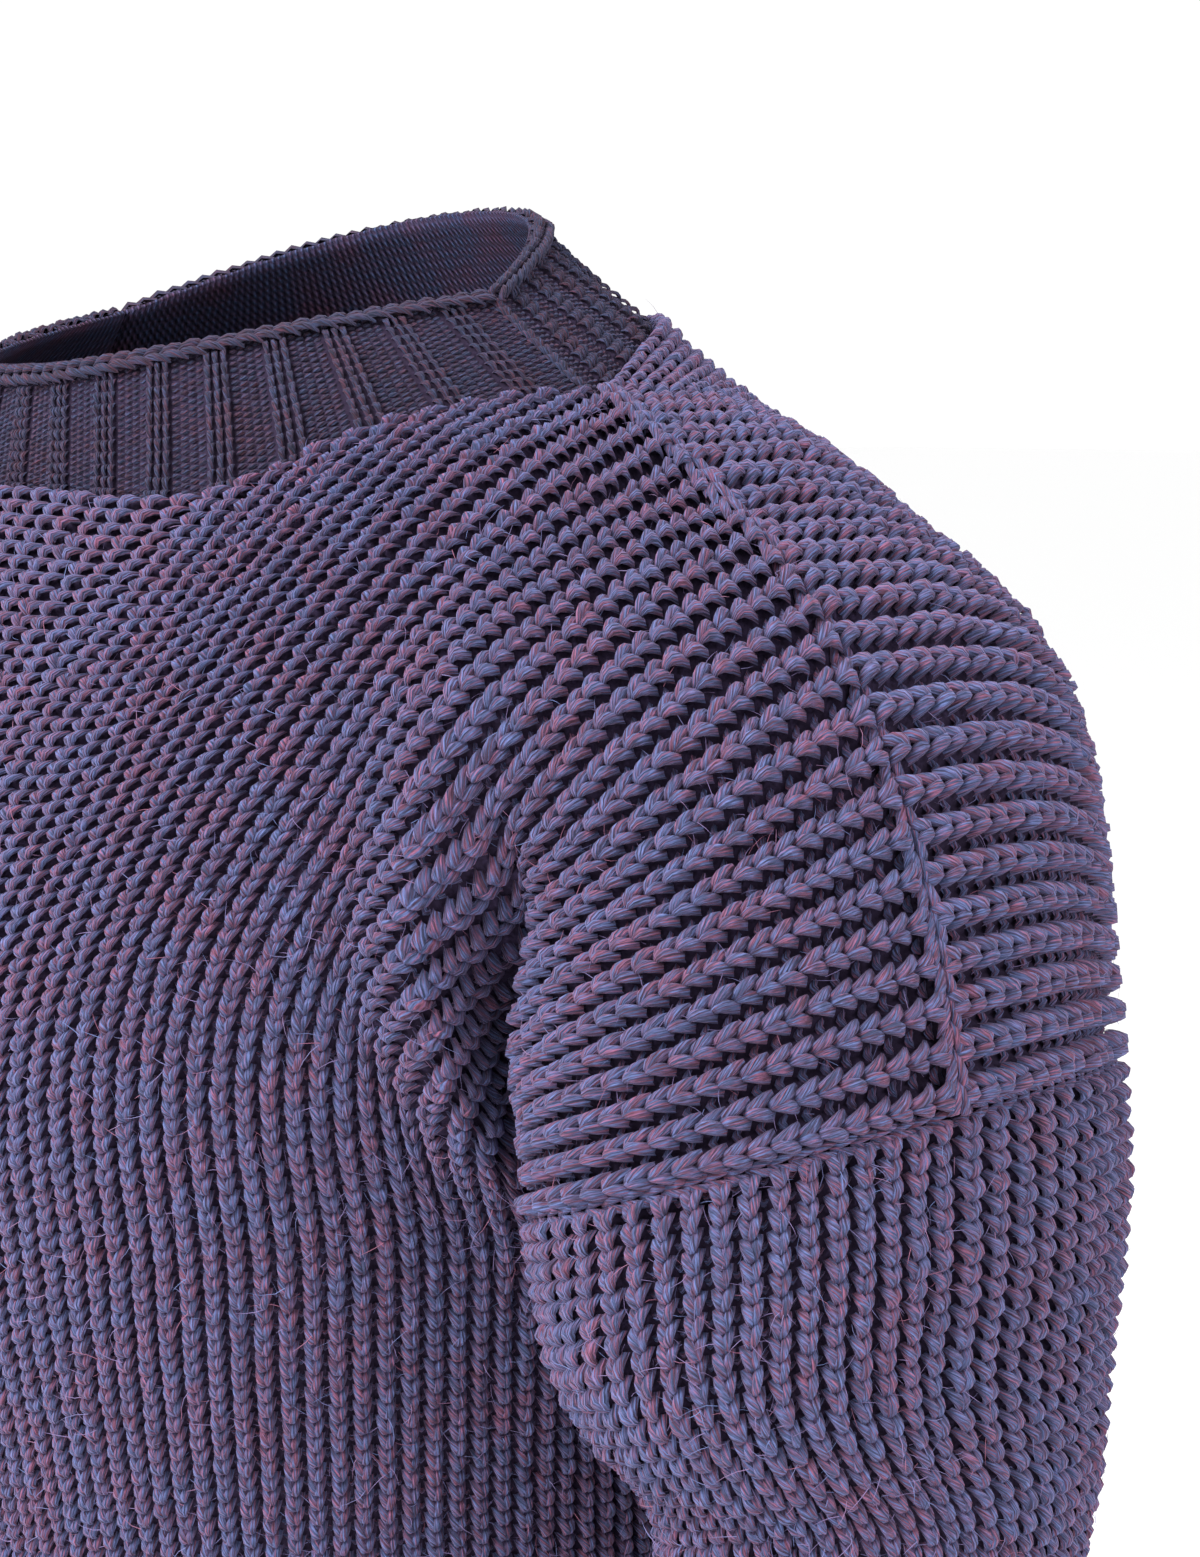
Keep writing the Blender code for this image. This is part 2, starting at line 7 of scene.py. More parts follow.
import bpy
import numpy as np
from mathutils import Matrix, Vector


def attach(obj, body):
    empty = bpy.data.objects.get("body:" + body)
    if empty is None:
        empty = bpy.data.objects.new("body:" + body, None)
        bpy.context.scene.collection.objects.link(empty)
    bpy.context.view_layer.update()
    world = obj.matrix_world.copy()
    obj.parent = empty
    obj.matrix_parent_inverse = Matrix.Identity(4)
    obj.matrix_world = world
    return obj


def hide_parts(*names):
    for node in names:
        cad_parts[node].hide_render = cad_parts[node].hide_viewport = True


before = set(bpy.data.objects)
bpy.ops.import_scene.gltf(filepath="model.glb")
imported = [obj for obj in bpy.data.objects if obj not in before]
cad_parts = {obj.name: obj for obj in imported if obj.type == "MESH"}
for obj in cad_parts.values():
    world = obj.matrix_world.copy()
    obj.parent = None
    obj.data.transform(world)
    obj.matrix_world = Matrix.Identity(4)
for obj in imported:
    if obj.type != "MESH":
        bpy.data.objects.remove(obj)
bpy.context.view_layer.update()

bl_info = {
    "name": "Fisherman Sweater",
    "version": (1, 0, 0),
    "blender": (4, 5, 0),
    "location": "View3D > Sidebar > Sweater",
    "description": "Knits the stitches of a fisherman sweater over its solids",
    "category": "Object",
}

# Sizes of the knit
SEAM_GAP = 0.0004
RIB_WIDTH = 0.0068
EASED_RIBS = 6
PANEL_RIBS_HALF = 44
NECK_RIBS_HALF = 20
SLEEVE_RIBS_HALF = 30

# Heights of the garment in its worn form, and how roundly its body and sleeves meet
HEM_Z = -0.600
UNDERARM_Z = -0.285
BODY_POWER = 2.3
ARMPIT_BLEND = 0.028
SHOULDER_BLEND = 0.060
SHOULDER_BLEND_Z = (-0.16, -0.08)
BEHIND_BLEND_Y = (0.02, 0.07)
BEHIND_BLEND_Z = (-0.26, -0.17)
EDGE_REACH = 1.8

# Half sections of the body, from the hem up to the neck
BODY_COLUMNS = ("z", "half_width", "centre_y", "front", "back")
BODY_SECTIONS = (
    (-0.620, 0.190, -0.002, 0.132, 0.126),
    (-0.520, 0.184, -0.002, 0.122, 0.122),
    (-0.400, 0.172, -0.002, 0.114, 0.114),
    (-0.300, 0.166, -0.002, 0.125, 0.110),
    (-0.225, 0.168, -0.002, 0.144, 0.114),
    (-0.165, 0.173, -0.002, 0.146, 0.118),
    (-0.110, 0.180, 0.004, 0.131, 0.118),
    (-0.080, 0.182, 0.010, 0.121, 0.110),
    (-0.055, 0.177, 0.018, 0.112, 0.100),
    (-0.035, 0.160, 0.026, 0.106, 0.088),
    (-0.020, 0.126, 0.030, 0.100, 0.076),
    (-0.005, 0.102, 0.032, 0.092, 0.065),
    (0.012, 0.078, 0.030, 0.080, 0.055),
    (0.040, 0.066, 0.028, 0.070, 0.048),
)

# Level sections of the worn sleeve, from the wrist up to the round of the shoulder
SLEEVE_COLUMNS = ("z", "centre_x", "centre_y", "half_x", "half_y")
SLEEVE_SECTIONS = (
    (-0.600, 0.300, -0.085, 0.036, 0.038),
    (-0.540, 0.292, -0.070, 0.037, 0.040),
    (-0.450, 0.274, -0.046, 0.039, 0.044),
    (-0.350, 0.256, -0.024, 0.039, 0.048),
    (-0.290, 0.249, -0.012, 0.0385, 0.050),
    (-0.272, 0.248, -0.007, 0.0385, 0.050),
    (-0.258, 0.2440, -0.0050, 0.0420, 0.054),
    (-0.245, 0.2405, -0.0075, 0.0435, 0.062),
    (-0.232, 0.2370, -0.0080, 0.0450, 0.069),
    (-0.205, 0.228, -0.002, 0.051, 0.074),
    (-0.165, 0.217, 0.004, 0.056, 0.073),
    (-0.110, 0.198, 0.020, 0.061, 0.068),
)
SHOULDER_CAP_Z = -0.110
SHOULDER_CAP_RISE = 0.060

# The armhole seam lies on a slanted plane round the sleeve, and the underarm is drawn to its own point
ARMHOLE_Z = -0.188
ARMHOLE_SLOPE_X = 0.30
ARMHOLE_SLOPE_Y = 0.08
UNDERARM_POINT = (0.1811, -0.242)
UNDERARM_FROM = math.radians(135)
UNDERARM_TO = math.radians(168)
UNDERARM_ROW = 0.25
UNDERARM_BEND_ROW = 0.1875
UNDERARM_BEND = (0.002, 0.010)
SEAM_END_ANGLE = math.radians(-12)
CUFF_Z = -0.575
CUFF_SLOPE_Y = -0.30
CUFF_DEPTH = 0.04

# The neck: where the panels end, and where the band ends above it
NECK_COLUMNS = (
    "half_width", "side_y", "side_z", "front", "front_drop", "front_power", "back", "back_rise", "back_power"
)
NECK_BASE = (0.125, 0.012, -0.021, 0.104, 0.017, 6.5, 0.076, 0.023, 2.3)
NECK_TOP = (0.0887, 0.004, 0.009, 0.084, 0.017, 2.6, 0.062, 0.028, 2.3)

# The shoulder seam, from the neck out and down over the shoulder, as x, y and z
SEAM_POINTS = (
    (0.1250, 0.012, -0.021),
    (0.1695, 0.006, -0.031),
    (0.2232, -0.004, -0.060),
    (0.2589, -0.010, -0.100),
    (0.2770, -0.012, -0.145),
)

# Large folds of the panels in front of and behind the armpit, over the rows: the rib that a ridge or a
# crease follows, how wide it is in ribs and how far it stands out
FOLD_COLUMNS = ("row", "rib", "width", "rise")
FRONT_RIDGE = (
    (1.06, 38.0, 2.2, 0.0),
    (1.20, 37.6, 2.2, 0.004),
    (1.30, 36.6, 2.3, 0.011),
    (1.40, 35.0, 2.3, 0.018),
    (1.50, 32.2, 2.4, 0.020),
    (1.66, 28.4, 2.6, 0.011),
    (1.82, 25.6, 2.8, 0.0),
)
FRONT_CREASE = (
    (1.16, 41.0, 1.4, 0.0),
    (1.28, 40.2, 1.4, -0.014),
    (1.38, 38.8, 1.3, -0.028),
    (1.48, 36.6, 1.3, -0.032),
    (1.58, 33.8, 1.5, -0.020),
    (1.72, 30.4, 1.7, 0.0),
)
BACK_RIDGE = ((1.10, 33.0, 4.0, 0.0), (1.35, 32.0, 4.0, 0.006), (1.60, 30.0, 4.0, 0.0))
BACK_CREASE = ((1.10, 39.0, 3.5, 0.0), (1.35, 38.0, 3.5, -0.006), (1.60, 36.0, 3.5, 0.0))

# Ribs over which the folds fade towards the armhole
FOLD_FADE = (PANEL_RIBS_HALF - 5, PANEL_RIBS_HALF - 1)

# Points along the neck edge, the shoulder seam, a level line and half an armhole
NECK_SAMPLES = 60
SEAM_SAMPLES = 80
LEVEL_SAMPLES = 160
RING_SAMPLES = 240

# How finely the cloths are worked out, where their first and last rows lie, and how often they are evened
COLUMN_SAMPLES = 49
LAST_ROW = 1.9996
FIRST_SLEEVE_ROW = 0.0012
FIRST_BAND_ROW = 0.004
ROW_ROUNDS = 4
FRONT_ROUNDS = 3
BACK_ROUNDS = 10
SEAM_ROUNDS = 12
LINE_ROUNDS = 80
RING_ROUNDS = 60
LONGEST_STEP = 0.012
LEAST_SLOPE = 0.05

# Shares of the way up over which the last ribs are carried over the armpit, and over which they come back
BRIDGE_BEGINS = (0.10, 0.20)
BRIDGE_ENDS = (0.6, 0.8)

# Rows, as a share of the sleeve, over which its shape and its normals leave those of the armhole
SLEEVE_JOINS = (1 / 5, 1 / 12)

# Share of the band's height over which its normals leave those of the panels
BAND_JOINS = 0.35


def column(table, names, name):
    """One named column of a table."""
    return np.array([row[names.index(name)] for row in table])


def through(at, keys, values):
    """A smooth curve through the values at the keys, straight beyond their ends."""
    slopes = np.gradient(values, keys)
    at = np.asarray(at, float)
    i = np.clip(np.searchsorted(keys, at) - 1, 0, len(keys) - 2)
    step = keys[i + 1] - keys[i]
    t = np.clip((at - keys[i]) / step, 0, 1)
    beyond = at - np.clip(at, keys[0], keys[-1])
    rise = values[i + 1] - values[i]
    ease = t * t * (3 - 2 * t)
    bow = slopes[i] * step * t * (1 - t) ** 2 - slopes[i + 1] * step * t * t * (1 - t)
    edge_slope = np.where(beyond < 0, slopes[0], slopes[-1])
    return values[i] + rise * ease + bow + beyond * edge_slope


def blend_rows(at, table):
    """Rows of a table at fractional row numbers."""
    low = np.clip(np.floor(at).astype(int), 0, len(table) - 2)
    part = (at - low).reshape(-1, *[1] * (table.ndim - 1))
    return table[low] * (1 - part) + table[low + 1] * part


def smoothstep(low, high, value):
    """0 below low, 1 above high, eased between."""
    t = np.clip((value - low) / (high - low), 0, 1)
    return t * t * (3 - 2 * t)


BODY = {name: column(BODY_SECTIONS, BODY_COLUMNS, name) for name in BODY_COLUMNS}
SLEEVE = {name: column(SLEEVE_SECTIONS, SLEEVE_COLUMNS, name) for name in SLEEVE_COLUMNS}


def body_section(z, y):
    """Half width, centre and depth of the body section at a height, on y's side of the centre."""
    wide, centre, front, back = (through(z, BODY["z"], BODY[name]) for name in BODY_COLUMNS[1:])
    return wide, centre, np.where(y < centre, front, back)


def body_gap(p):
    """How far points lie outside the garment's body, roughly, in metres."""
    wide, centre, deep = body_section(p[..., 2], p[..., 1])
    wide, deep = np.maximum(wide, 0.02), np.maximum(deep, 0.02)
    away = np.abs(p[..., 1] - centre)
    ratio = (np.abs(p[..., 0]) / wide) ** BODY_POWER + (away / deep) ** BODY_POWER
    return (ratio ** (1 / BODY_POWER) - 1) * np.minimum(wide, deep)


def sleeve_section(z):
    """Centre and half sizes of the sleeve's section at a height."""
    return tuple(through(z, SLEEVE["z"], SLEEVE[name]) for name in SLEEVE_COLUMNS[1:])


def sleeve_gap(p):
    """How far points lie outside the sleeve on their own side, roughly, in metres."""
    z = p[..., 2]
    centre_x, centre_y, half_x, half_y = sleeve_section(z)
    rise = np.clip((z - SHOULDER_CAP_Z) / SHOULDER_CAP_RISE, 0, 0.999)
    cap = np.sqrt(1 - rise**2)
    half_x, half_y = half_x * cap, half_y * cap
    ratio = np.hypot((np.abs(p[..., 0]) - centre_x) / half_x, (p[..., 1] - centre_y) / half_y)
    return (ratio - 1) * np.minimum(half_x, half_y)


def worn_gap(p):
    """How far points lie outside body and sleeve together, with the armpit rounded."""
    body, sleeve = body_gap(p), sleeve_gap(p)
    up = smoothstep(*SHOULDER_BLEND_Z, p[..., 2])
    behind = smoothstep(*BEHIND_BLEND_Y, p[..., 1]) * smoothstep(*BEHIND_BLEND_Z, p[..., 2])
    blend = ARMPIT_BLEND + (SHOULDER_BLEND - ARMPIT_BLEND) * np.maximum(up, behind)
    near = np.maximum(blend - np.abs(body - sleeve), 0) / blend
    return np.minimum(body, sleeve) - near * near * blend / 4


def worn_slope(p):
    """The gradient of worn_gap."""
    reach = 2e-4
    parts = []
    for axis in np.eye(3):
        parts.append((worn_gap(p + reach * axis) - worn_gap(p - reach * axis)) / (2 * reach))
    return np.stack(parts, -1)


def settle(p, rounds=14):
    """Moves points onto the worn shape along its gradient."""
    p = np.array(p, float)
    for _ in range(rounds):
        slope = worn_slope(p)
        size = np.maximum((slope**2).sum(-1), LEAST_SLOPE)
        step = (worn_gap(p) / size)[..., None] * slope
        length = np.linalg.norm(step, axis=-1, keepdims=True)
        p -= step * np.minimum(1, LONGEST_STEP / np.maximum(length, 1e-9))
    return p


def unit(vectors):
    """Vectors brought to length one."""
    return vectors / np.linalg.norm(vectors, axis=-1, keepdims=True)


def outward(p):
    """Unit normals of the worn shape at points."""
    return unit(worn_slope(p))


def relax(line, rounds):
    """Evens out a line of points between its ends."""
    for _ in range(rounds):
        line[1:-1] += 0.5 * (line[2:] + line[:-2] - 2 * line[1:-1])


def lengths(points):
    """Distance travelled along a line of points."""
    steps = np.linalg.norm(np.diff(points, axis=0), axis=1)
    return np.concatenate([[0], np.cumsum(steps)])


def spread(points, shares):
    """Points at shares of the length of a line of points."""
    run = lengths(points)
    return np.stack([np.interp(shares, run / run[-1], points[:, k]) for k in range(3)], -1)


def neck_line(size, face, shares):
    """Points of a neck edge from the centre (0) to the side corner (1); face is -1 in front, 1 behind."""
    size = dict(zip(NECK_COLUMNS, size))
    side, high = ("front", -size["front_drop"]) if face < 0 else ("back", size["back_rise"])
    x = size["half_width"] * np.sin(np.linspace(0, math.pi / 2, NECK_SAMPLES))
    bow = 1 - (x / size["half_width"]) ** size[side + "_power"]
    line = np.stack([x, size["side_y"] + face * size[side] * bow, size["side_z"] + high * bow], -1)
    return spread(line, shares)


def sleeve_ring(angles, z):
    """Points of the sleeve at angles round it, 0 outwards and -90 degrees in front, and their own heights."""
    centre_x, centre_y, half_x, half_y = sleeve_section(z)
    return np.stack([centre_x + half_x * np.cos(angles), centre_y + half_y * np.sin(angles), z], -1)


def armhole(angles):
    """The armhole seam at angles round the sleeve; on the inner side it follows the fold of the armpit."""
    z = np.full(np.shape(angles), ARMHOLE_Z)
    for _ in range(6):
        _, _, half_x, half_y = sleeve_section(z)
        slope_x, slope_y = ARMHOLE_SLOPE_X * half_x, ARMHOLE_SLOPE_Y * half_y
        z = ARMHOLE_Z + slope_x * np.cos(angles) + slope_y * np.sin(angles)
    guess = sleeve_ring(angles, z)
    under = smoothstep(UNDERARM_FROM, UNDERARM_TO, np.abs(angles))
    guess[..., 0] += (UNDERARM_POINT[0] - guess[..., 0]) * under
    guess[..., 2] += (UNDERARM_POINT[1] - guess[..., 2]) * under
    return settle(guess, 30)


def seam_line(shares):
    """The shoulder seam from the neck corner (0) to the armhole (1)."""
    end = armhole(np.array([SEAM_END_ANGLE]))[0]
    keys = np.array([*SEAM_POINTS, end])
    at = np.arange(len(keys), dtype=float)
    fine = np.linspace(0, at[-1], SEAM_SAMPLES)
    line = settle(np.stack([through(fine, at, keys[:, k]) for k in range(3)], -1))
    for _ in range(SEAM_ROUNDS):
        relax(line, 1)
        line[1:-1] = settle(line[1:-1], 3)
    relax(line, LINE_ROUNDS)
    return spread(line, shares)


def top_line(face, u):
    """Where the ribs end above: the neck edge, then the shoulder seam, as u runs from the centre outwards."""
    corner = NECK_RIBS_HALF / PANEL_RIBS_HALF
    neck = settle(neck_line(NECK_BASE, face, np.clip(u / corner, 0, 1)))
    seam = seam_line(np.clip((u - corner) / (1 - corner), 0, 1))
    return np.where((u < corner)[:, None], neck, seam)


def level_line(face, u, z):
    """The body section at height z, from its centre (0) to the side seam (1)."""
    angle = np.linspace(0, math.pi / 2, LEVEL_SAMPLES)
    wide, centre, deep = body_section(z, np.array(face * 9.0))
    power = 2 / BODY_POWER
    x = wide * np.sin(angle) ** power
    y = centre + face * deep * np.cos(angle) ** power
    return spread(np.stack([x, y, np.full_like(x, z)], -1), u)


def armhole_half(face, shares):
    """Half of the armhole seam at shares from the underarm (0) to the shoulder seam (1), and its angles."""
    turns = np.linspace(face * math.pi, SEAM_END_ANGLE, RING_SAMPLES)
    points = armhole(turns)
    relax(points, RING_ROUNDS)
    run = lengths(points)
    return spread(points, shares), np.interp(shares, run / run[-1], turns)


def armhole_edge(face, rows):
    """The panel's outer edge over rows 0 to 1: up the side to the underarm, then round the armhole."""
    side = level_line(face, np.array([1.0]), UNDERARM_Z)[0]
    ring, _ = armhole_half(face, np.clip((rows - UNDERARM_ROW) / (1 - UNDERARM_ROW), 0, 1))
    bend = np.array([side[0] + UNDERARM_BEND[0], side[1], ring[0, 2] - UNDERARM_BEND[1]])
    path = np.stack([side, bend, ring[0]])
    rise = np.interp(rows, (0, UNDERARM_BEND_ROW, UNDERARM_ROW), (0, 1, 2))
    below = blend_rows(rise, path)
    return np.where((rows < UNDERARM_ROW)[:, None], below, ring)


def upper_columns(face, u):
    """Each rib's way from the underarm level to the top line, as points: [rib, sample, 3]."""
    low, high = level_line(face, u, UNDERARM_Z), top_line(face, u)
    t = np.linspace(0, 1, COLUMN_SAMPLES)
    edge = armhole_edge(face, t)
    middle = low[:1] + (high[:1] - low[:1]) * t[:, None]
    share = (u**EDGE_REACH)[:, None, None]
    sides = (1 - share) * middle + share * edge
    ends = (1 - t)[None, :, None] * low[:, None] + t[None, :, None] * high[:, None]
    straight = (1 - t)[:, None] * low[-1] + t[:, None] * high[-1]
    grid = settle(sides + ends - (1 - share) * middle - share * straight)
    wanted = lengths(high)
    wanted = wanted / wanted[-1]
    for _ in range(ROW_ROUNDS):
        for i in range(1, COLUMN_SAMPLES - 1):
            fair = t[i] * wanted + (1 - t[i]) * u
            run = lengths(grid[:, i])
            shares = 0.5 * fair + 0.5 * run / run[-1]
            grid[:, i] = spread(grid[:, i], shares)
        for _ in range(6):
            grid[1:-1, 1:-1] += 0.25 * (grid[1:-1, 2:] + grid[1:-1, :-2] - 2 * grid[1:-1, 1:-1])
        grid[1:-1, 1:-1] = settle(grid[1:-1, 1:-1], 6)
    return bridge_armpit(grid, u, t)


def bridge_armpit(grid, u, t):
    """Carries the last ribs straight over to the armhole seam where the armpit is tight."""
    ribs = u * PANEL_RIBS_HALF
    first = int(np.argmin(np.abs(ribs - (PANEL_RIBS_HALF - EASED_RIBS))))
    run = (ribs[first:] - ribs[first]) / (ribs[-1] - ribs[first])
    start, end = grid[first], grid[-1]
    steer = start + (start - grid[first - 1]) * 0.5 * (len(run) - 1)
    share = run[:, None, None]
    bridge = start * (1 - share) ** 2 + 2 * steer * share * (1 - share) + end * share**2
    weight = (smoothstep(*BRIDGE_BEGINS, t) * (1 - smoothstep(*BRIDGE_ENDS, t)))[None, :, None]
    grid[first:] = grid[first:] * (1 - weight) + bridge * weight
    return grid


def upper_surface(face):
    """The upper panel as a relaxed cloth: points and outward normals on whole ribs. [rib, sample, 3]."""
    grid = upper_columns(face, np.linspace(0, 1, PANEL_RIBS_HALF + 1))
    normals = outward(grid)
    for _ in range(FRONT_ROUNDS if face < 0 else BACK_ROUNDS):
        for field in (grid, normals):
            around = field[2:, 1:-1] + field[:-2, 1:-1] + field[1:-1, 2:] + field[1:-1, :-2]
            field[1:-1, 1:-1] += 0.2 * (around - 4 * field[1:-1, 1:-1])
    return grid, unit(normals)


def eased_normals(normals, ribs):
    """Lets the normals turn evenly over the last ribs before the armhole, where the armpit folds tightly."""
    first = PANEL_RIBS_HALF - EASED_RIBS
    for part in (slice(0, len(ribs) // 2), slice(len(ribs) // 2, len(ribs))):
        mine, near = ribs[part], normals[:, part]
        edge, start = near[:, [np.argmax(mine)]], near[:, [np.argmin(np.abs(mine - first))]]
        share = np.clip((mine - first) / EASED_RIBS, 0, 1)[None, :, None]
        eased = start * (1 - share) + edge * share
        normals[:, part] = np.where(share > 0, eased, near)
    return unit(normals)


def fold_rise(face, rib, row):
    """How far the panel's folds move it out at a rib and a row."""
    rise = np.zeros(np.broadcast(rib, row).shape)
    for fold in (FRONT_RIDGE, FRONT_CREASE) if face < 0 else (BACK_RIDGE, BACK_CREASE):
        keys, middle, width, height = (column(fold, FOLD_COLUMNS, name) for name in FOLD_COLUMNS)
        way = (rib - np.interp(row, keys, middle)) / np.interp(row, keys, width)
        rise = rise + through(np.clip(row, keys[0], keys[-1]), keys, height) * np.exp(-(way**2))
    return rise * (1 - smoothstep(*FOLD_FADE, rib))


def panel_points(face, ribs, rows):
    """Points of a panel's inner side and their outward normals, as [row, rib, 3]. Ribs count from the centre
    and are negative on the right. Rows run from 0 at the hem through 1 at the underarm to 2 at the top."""
    ribs, rows = np.asarray(ribs, float), np.asarray(rows, float)
    u = np.abs(ribs) / PANEL_RIBS_HALF
    whole, whole_normals = upper_surface(face)
    upper = blend_rows(u * PANEL_RIBS_HALF, whole).swapaxes(0, 1)
    upper_normals = blend_rows(u * PANEL_RIBS_HALF, whole_normals).swapaxes(0, 1)
    out, normals = np.empty((len(rows), len(u), 3)), np.empty((len(rows), len(u), 3))
    for i, row in enumerate(rows):
        if row < 1:
            out[i] = level_line(face, u, HEM_Z + (UNDERARM_Z - HEM_Z) * row)
            normals[i] = outward(out[i])
        else:
            at = np.array([(row - 1) * (COLUMN_SAMPLES - 1)])
            out[i], normals[i] = blend_rows(at, upper)[0], blend_rows(at, upper_normals)[0]
    ends = [j for j in (0, len(u) - 1) if u[j] > 0.999]
    above = rows >= 1
    seam_normals = outward(armhole_edge(face, rows[above] - 1))
    for j in ends:
        normals[above, j] = seam_normals
        inwards = out[:, 1 if j == 0 else j - 1] - out[:, j]
        inwards[rows < 1.01 + UNDERARM_ROW] = (0, face, 0)
        out[:, j] += unit(inwards) * SEAM_GAP / 2
    normals = eased_normals(normals, np.abs(ribs))
    rib_grid, row_grid = np.abs(ribs)[None, :], rows[:, None]
    step = 0.05
    before, after = (fold_rise(face, rib_grid + way * step, row_grid) for way in (-1, 1))
    slope_rib = (after - before) / (2 * step * RIB_WIDTH)
    across = np.gradient(out, axis=1)
    across /= np.maximum(np.linalg.norm(across, axis=-1, keepdims=True), 1e-9)
    out = out + normals * fold_rise(face, rib_grid, row_grid)[..., None]
    normals = unit(normals - across * slope_rib[..., None])
    flip = np.where(ribs < 0, -1.0, 1.0)[None, :]
    out[..., 0] *= flip
    normals[..., 0] *= flip
    return out, normals


def sleeve_points(ribs, rows):
    """Points of the left sleeve's inner side and their outward normals, as [row, rib, 3]. Ribs count from the
    top of the sleeve, positive towards the back; rows run from 0 at the armhole to 1 at the cuff."""
    ribs, rows = np.asarray(ribs, float), np.asarray(rows, float)[:, None]
    shares = 1 - np.abs(ribs) / SLEEVE_RIBS_HALF
    rows_met = np.linspace(0, 1, COLUMN_SAMPLES)[COLUMN_SAMPLES // 4 :]
    knots = (rows_met - UNDERARM_ROW) / (1 - UNDERARM_ROW)
    top, hold_normals = np.empty((len(ribs), 3)), np.empty((len(ribs), 3))
    angles = np.empty(len(ribs))
    for face in (-1, 1):
        mine = ribs < 0 if face < 0 else ribs >= 0
        _, angles[mine] = armhole_half(face, shares[mine])
        edge = armhole_edge(face, np.linspace(0, 1, COLUMN_SAMPLES))
        points = blend_rows(rows_met * (COLUMN_SAMPLES - 1), edge)
        away = outward(points)
        for k in range(3):
            top[mine, k] = np.interp(shares[mine], knots, points[:, k])
            hold_normals[mine, k] = np.interp(shares[mine], knots, away[:, k])
    z = top[:, 2] * (1 - rows) + (CUFF_Z + CUFF_SLOPE_Y * CUFF_DEPTH * np.sin(angles)) * rows
    out = sleeve_ring(np.broadcast_to(angles, z.shape), z)
    fade, hold = ((np.clip(1 - rows / share, 0, 1) ** 2)[..., None] for share in SLEEVE_JOINS)
    out = out + fade * (top - sleeve_ring(angles, top[:, 2]))
    along, around = np.gradient(out, axis=0), np.gradient(out, axis=1)
    around[:, 0] = around[:, -1] = out[:, 1] - out[:, -2]
    normals = unit(np.cross(along, around)) * (1 - hold) + hold_normals * hold
    return out, unit(normals)


def band_points(face, shares, rows):
    """Points of the neckband's inner side and their outward normals: shares from -1 to 1 between its corners,
    rows from 0 at the panel to 1 at the bound-off edge. [row, share, 3]."""
    shares = np.asarray(shares, float)
    side = np.where(shares < 0, -1.0, 1.0)
    base = settle(neck_line(NECK_BASE, face, np.abs(shares)))
    top = neck_line(NECK_TOP, face, np.abs(shares))
    rows = np.asarray(rows, float)[:, None, None]
    out = base * (1 - rows) + top * rows
    ahead, behind = np.minimum(np.abs(shares) + 0.02, 1), np.maximum(np.abs(shares) - 0.02, 0)
    way = neck_line(NECK_TOP, face, ahead) - neck_line(NECK_TOP, face, behind)
    hold = (1 - np.clip(rows / BAND_JOINS, 0, 1)) ** 2
    normals = unit(unit(face * np.cross(top - base, way)) * (1 - hold) + outward(base) * hold)
    out[..., 0] *= side
    normals[..., 0] *= side
    return out, normals


# Rows of the fields that the cloths are sampled in, and columns and stitches of the band
LOWER_LEVELS = 67
UPPER_LEVELS = 57
SLEEVE_LEVELS = 82
BAND_STITCHES = 12
BAND_COLUMNS = 126
BAND_REPEAT = 7
BAND_KNIT = 3
BAND_GROUND_LEVELS = 9
PURL_STAGGER = 0.12

# How high one stitch is along a rib: low down, at the yoke by the rib, and where on the way up that changes
LOWER_HEIGHT = 0.0038
UPPER_HEIGHTS = ((0.0, 0.0040), (20.0, 0.0041), (32.0, 0.0049), (44.0, 0.0051))
HEIGHT_CHANGES = (0.50, 0.85)
SLEEVE_HEIGHT = 0.0045

# Where the picture doesn't show the knit: how much higher the stitches are, and the share of fibres kept.
# The picture is taken to reach a little past its edges, and the knit a little past its outline.
FAR_STRETCH = 1.42
FAR_FIBRES = 0.15
PICTURE_REACH = 0.54
LEAST_FACING = -0.30

# How high the cloth under the stitches stands in the valleys, and how much higher under a rib
GROUND_LOW = 0.0004
GROUND_RIB = 0.0041
BAND_GROUND_LOW = 0.0008
BAND_GROUND_RIB = 0.0005

# The neckband's yarn and valleys against those of the panels, both darker as painted shade
BAND_SHADE = 0.36
BAND_VALLEYS = 0.35

# Rib width and stitch height that the strands below are drawn for, and how far they may grow or shrink
RIB_SIZE = (0.0068, 0.0048)
BAND_SIZE = (0.0025, 0.0031)
CHAIN_SIZE = (0.0060, 0.0048)
STRAND_GROWTH = (0.75, 1.25)

# Turns round a strand, in degrees from its top, where the picture shows it and elsewhere, and how thick the
# plainer strands still are at their ends; the most faces of one piece of strands
CLOSE_TURNS = (-108, -40, 40, 108)
FAR_TURNS = (-100, 0, 100)
FAR_TAPER = 0.8
PIECE_FACES = 92000

# How unevenly the stitches are placed, in stitches, and how unevenly they stand out
UNEVEN_PLACE = 0.018
UNEVEN_BULK = 0.06

# Chains: how far they lie over the cloth, how wide they are and how long one stitch is
HEM_CHAIN = (0.0022, 0.0056, 0.0050)
BOUND_OFF_CHAIN = (0.0018, 0.0066, 0.0048)
SHOULDER_CHAIN = (0.0045, 0.0062, 0.0062)
ARMHOLE_CHAIN = (0.0020, 0.0052, 0.0046)
CORNER_CHAIN = (0.0003, 0.0034, 0.0034)
BOUND_OFF_DROP = 0.0037
BOUND_OFF_LEAN = 0.3

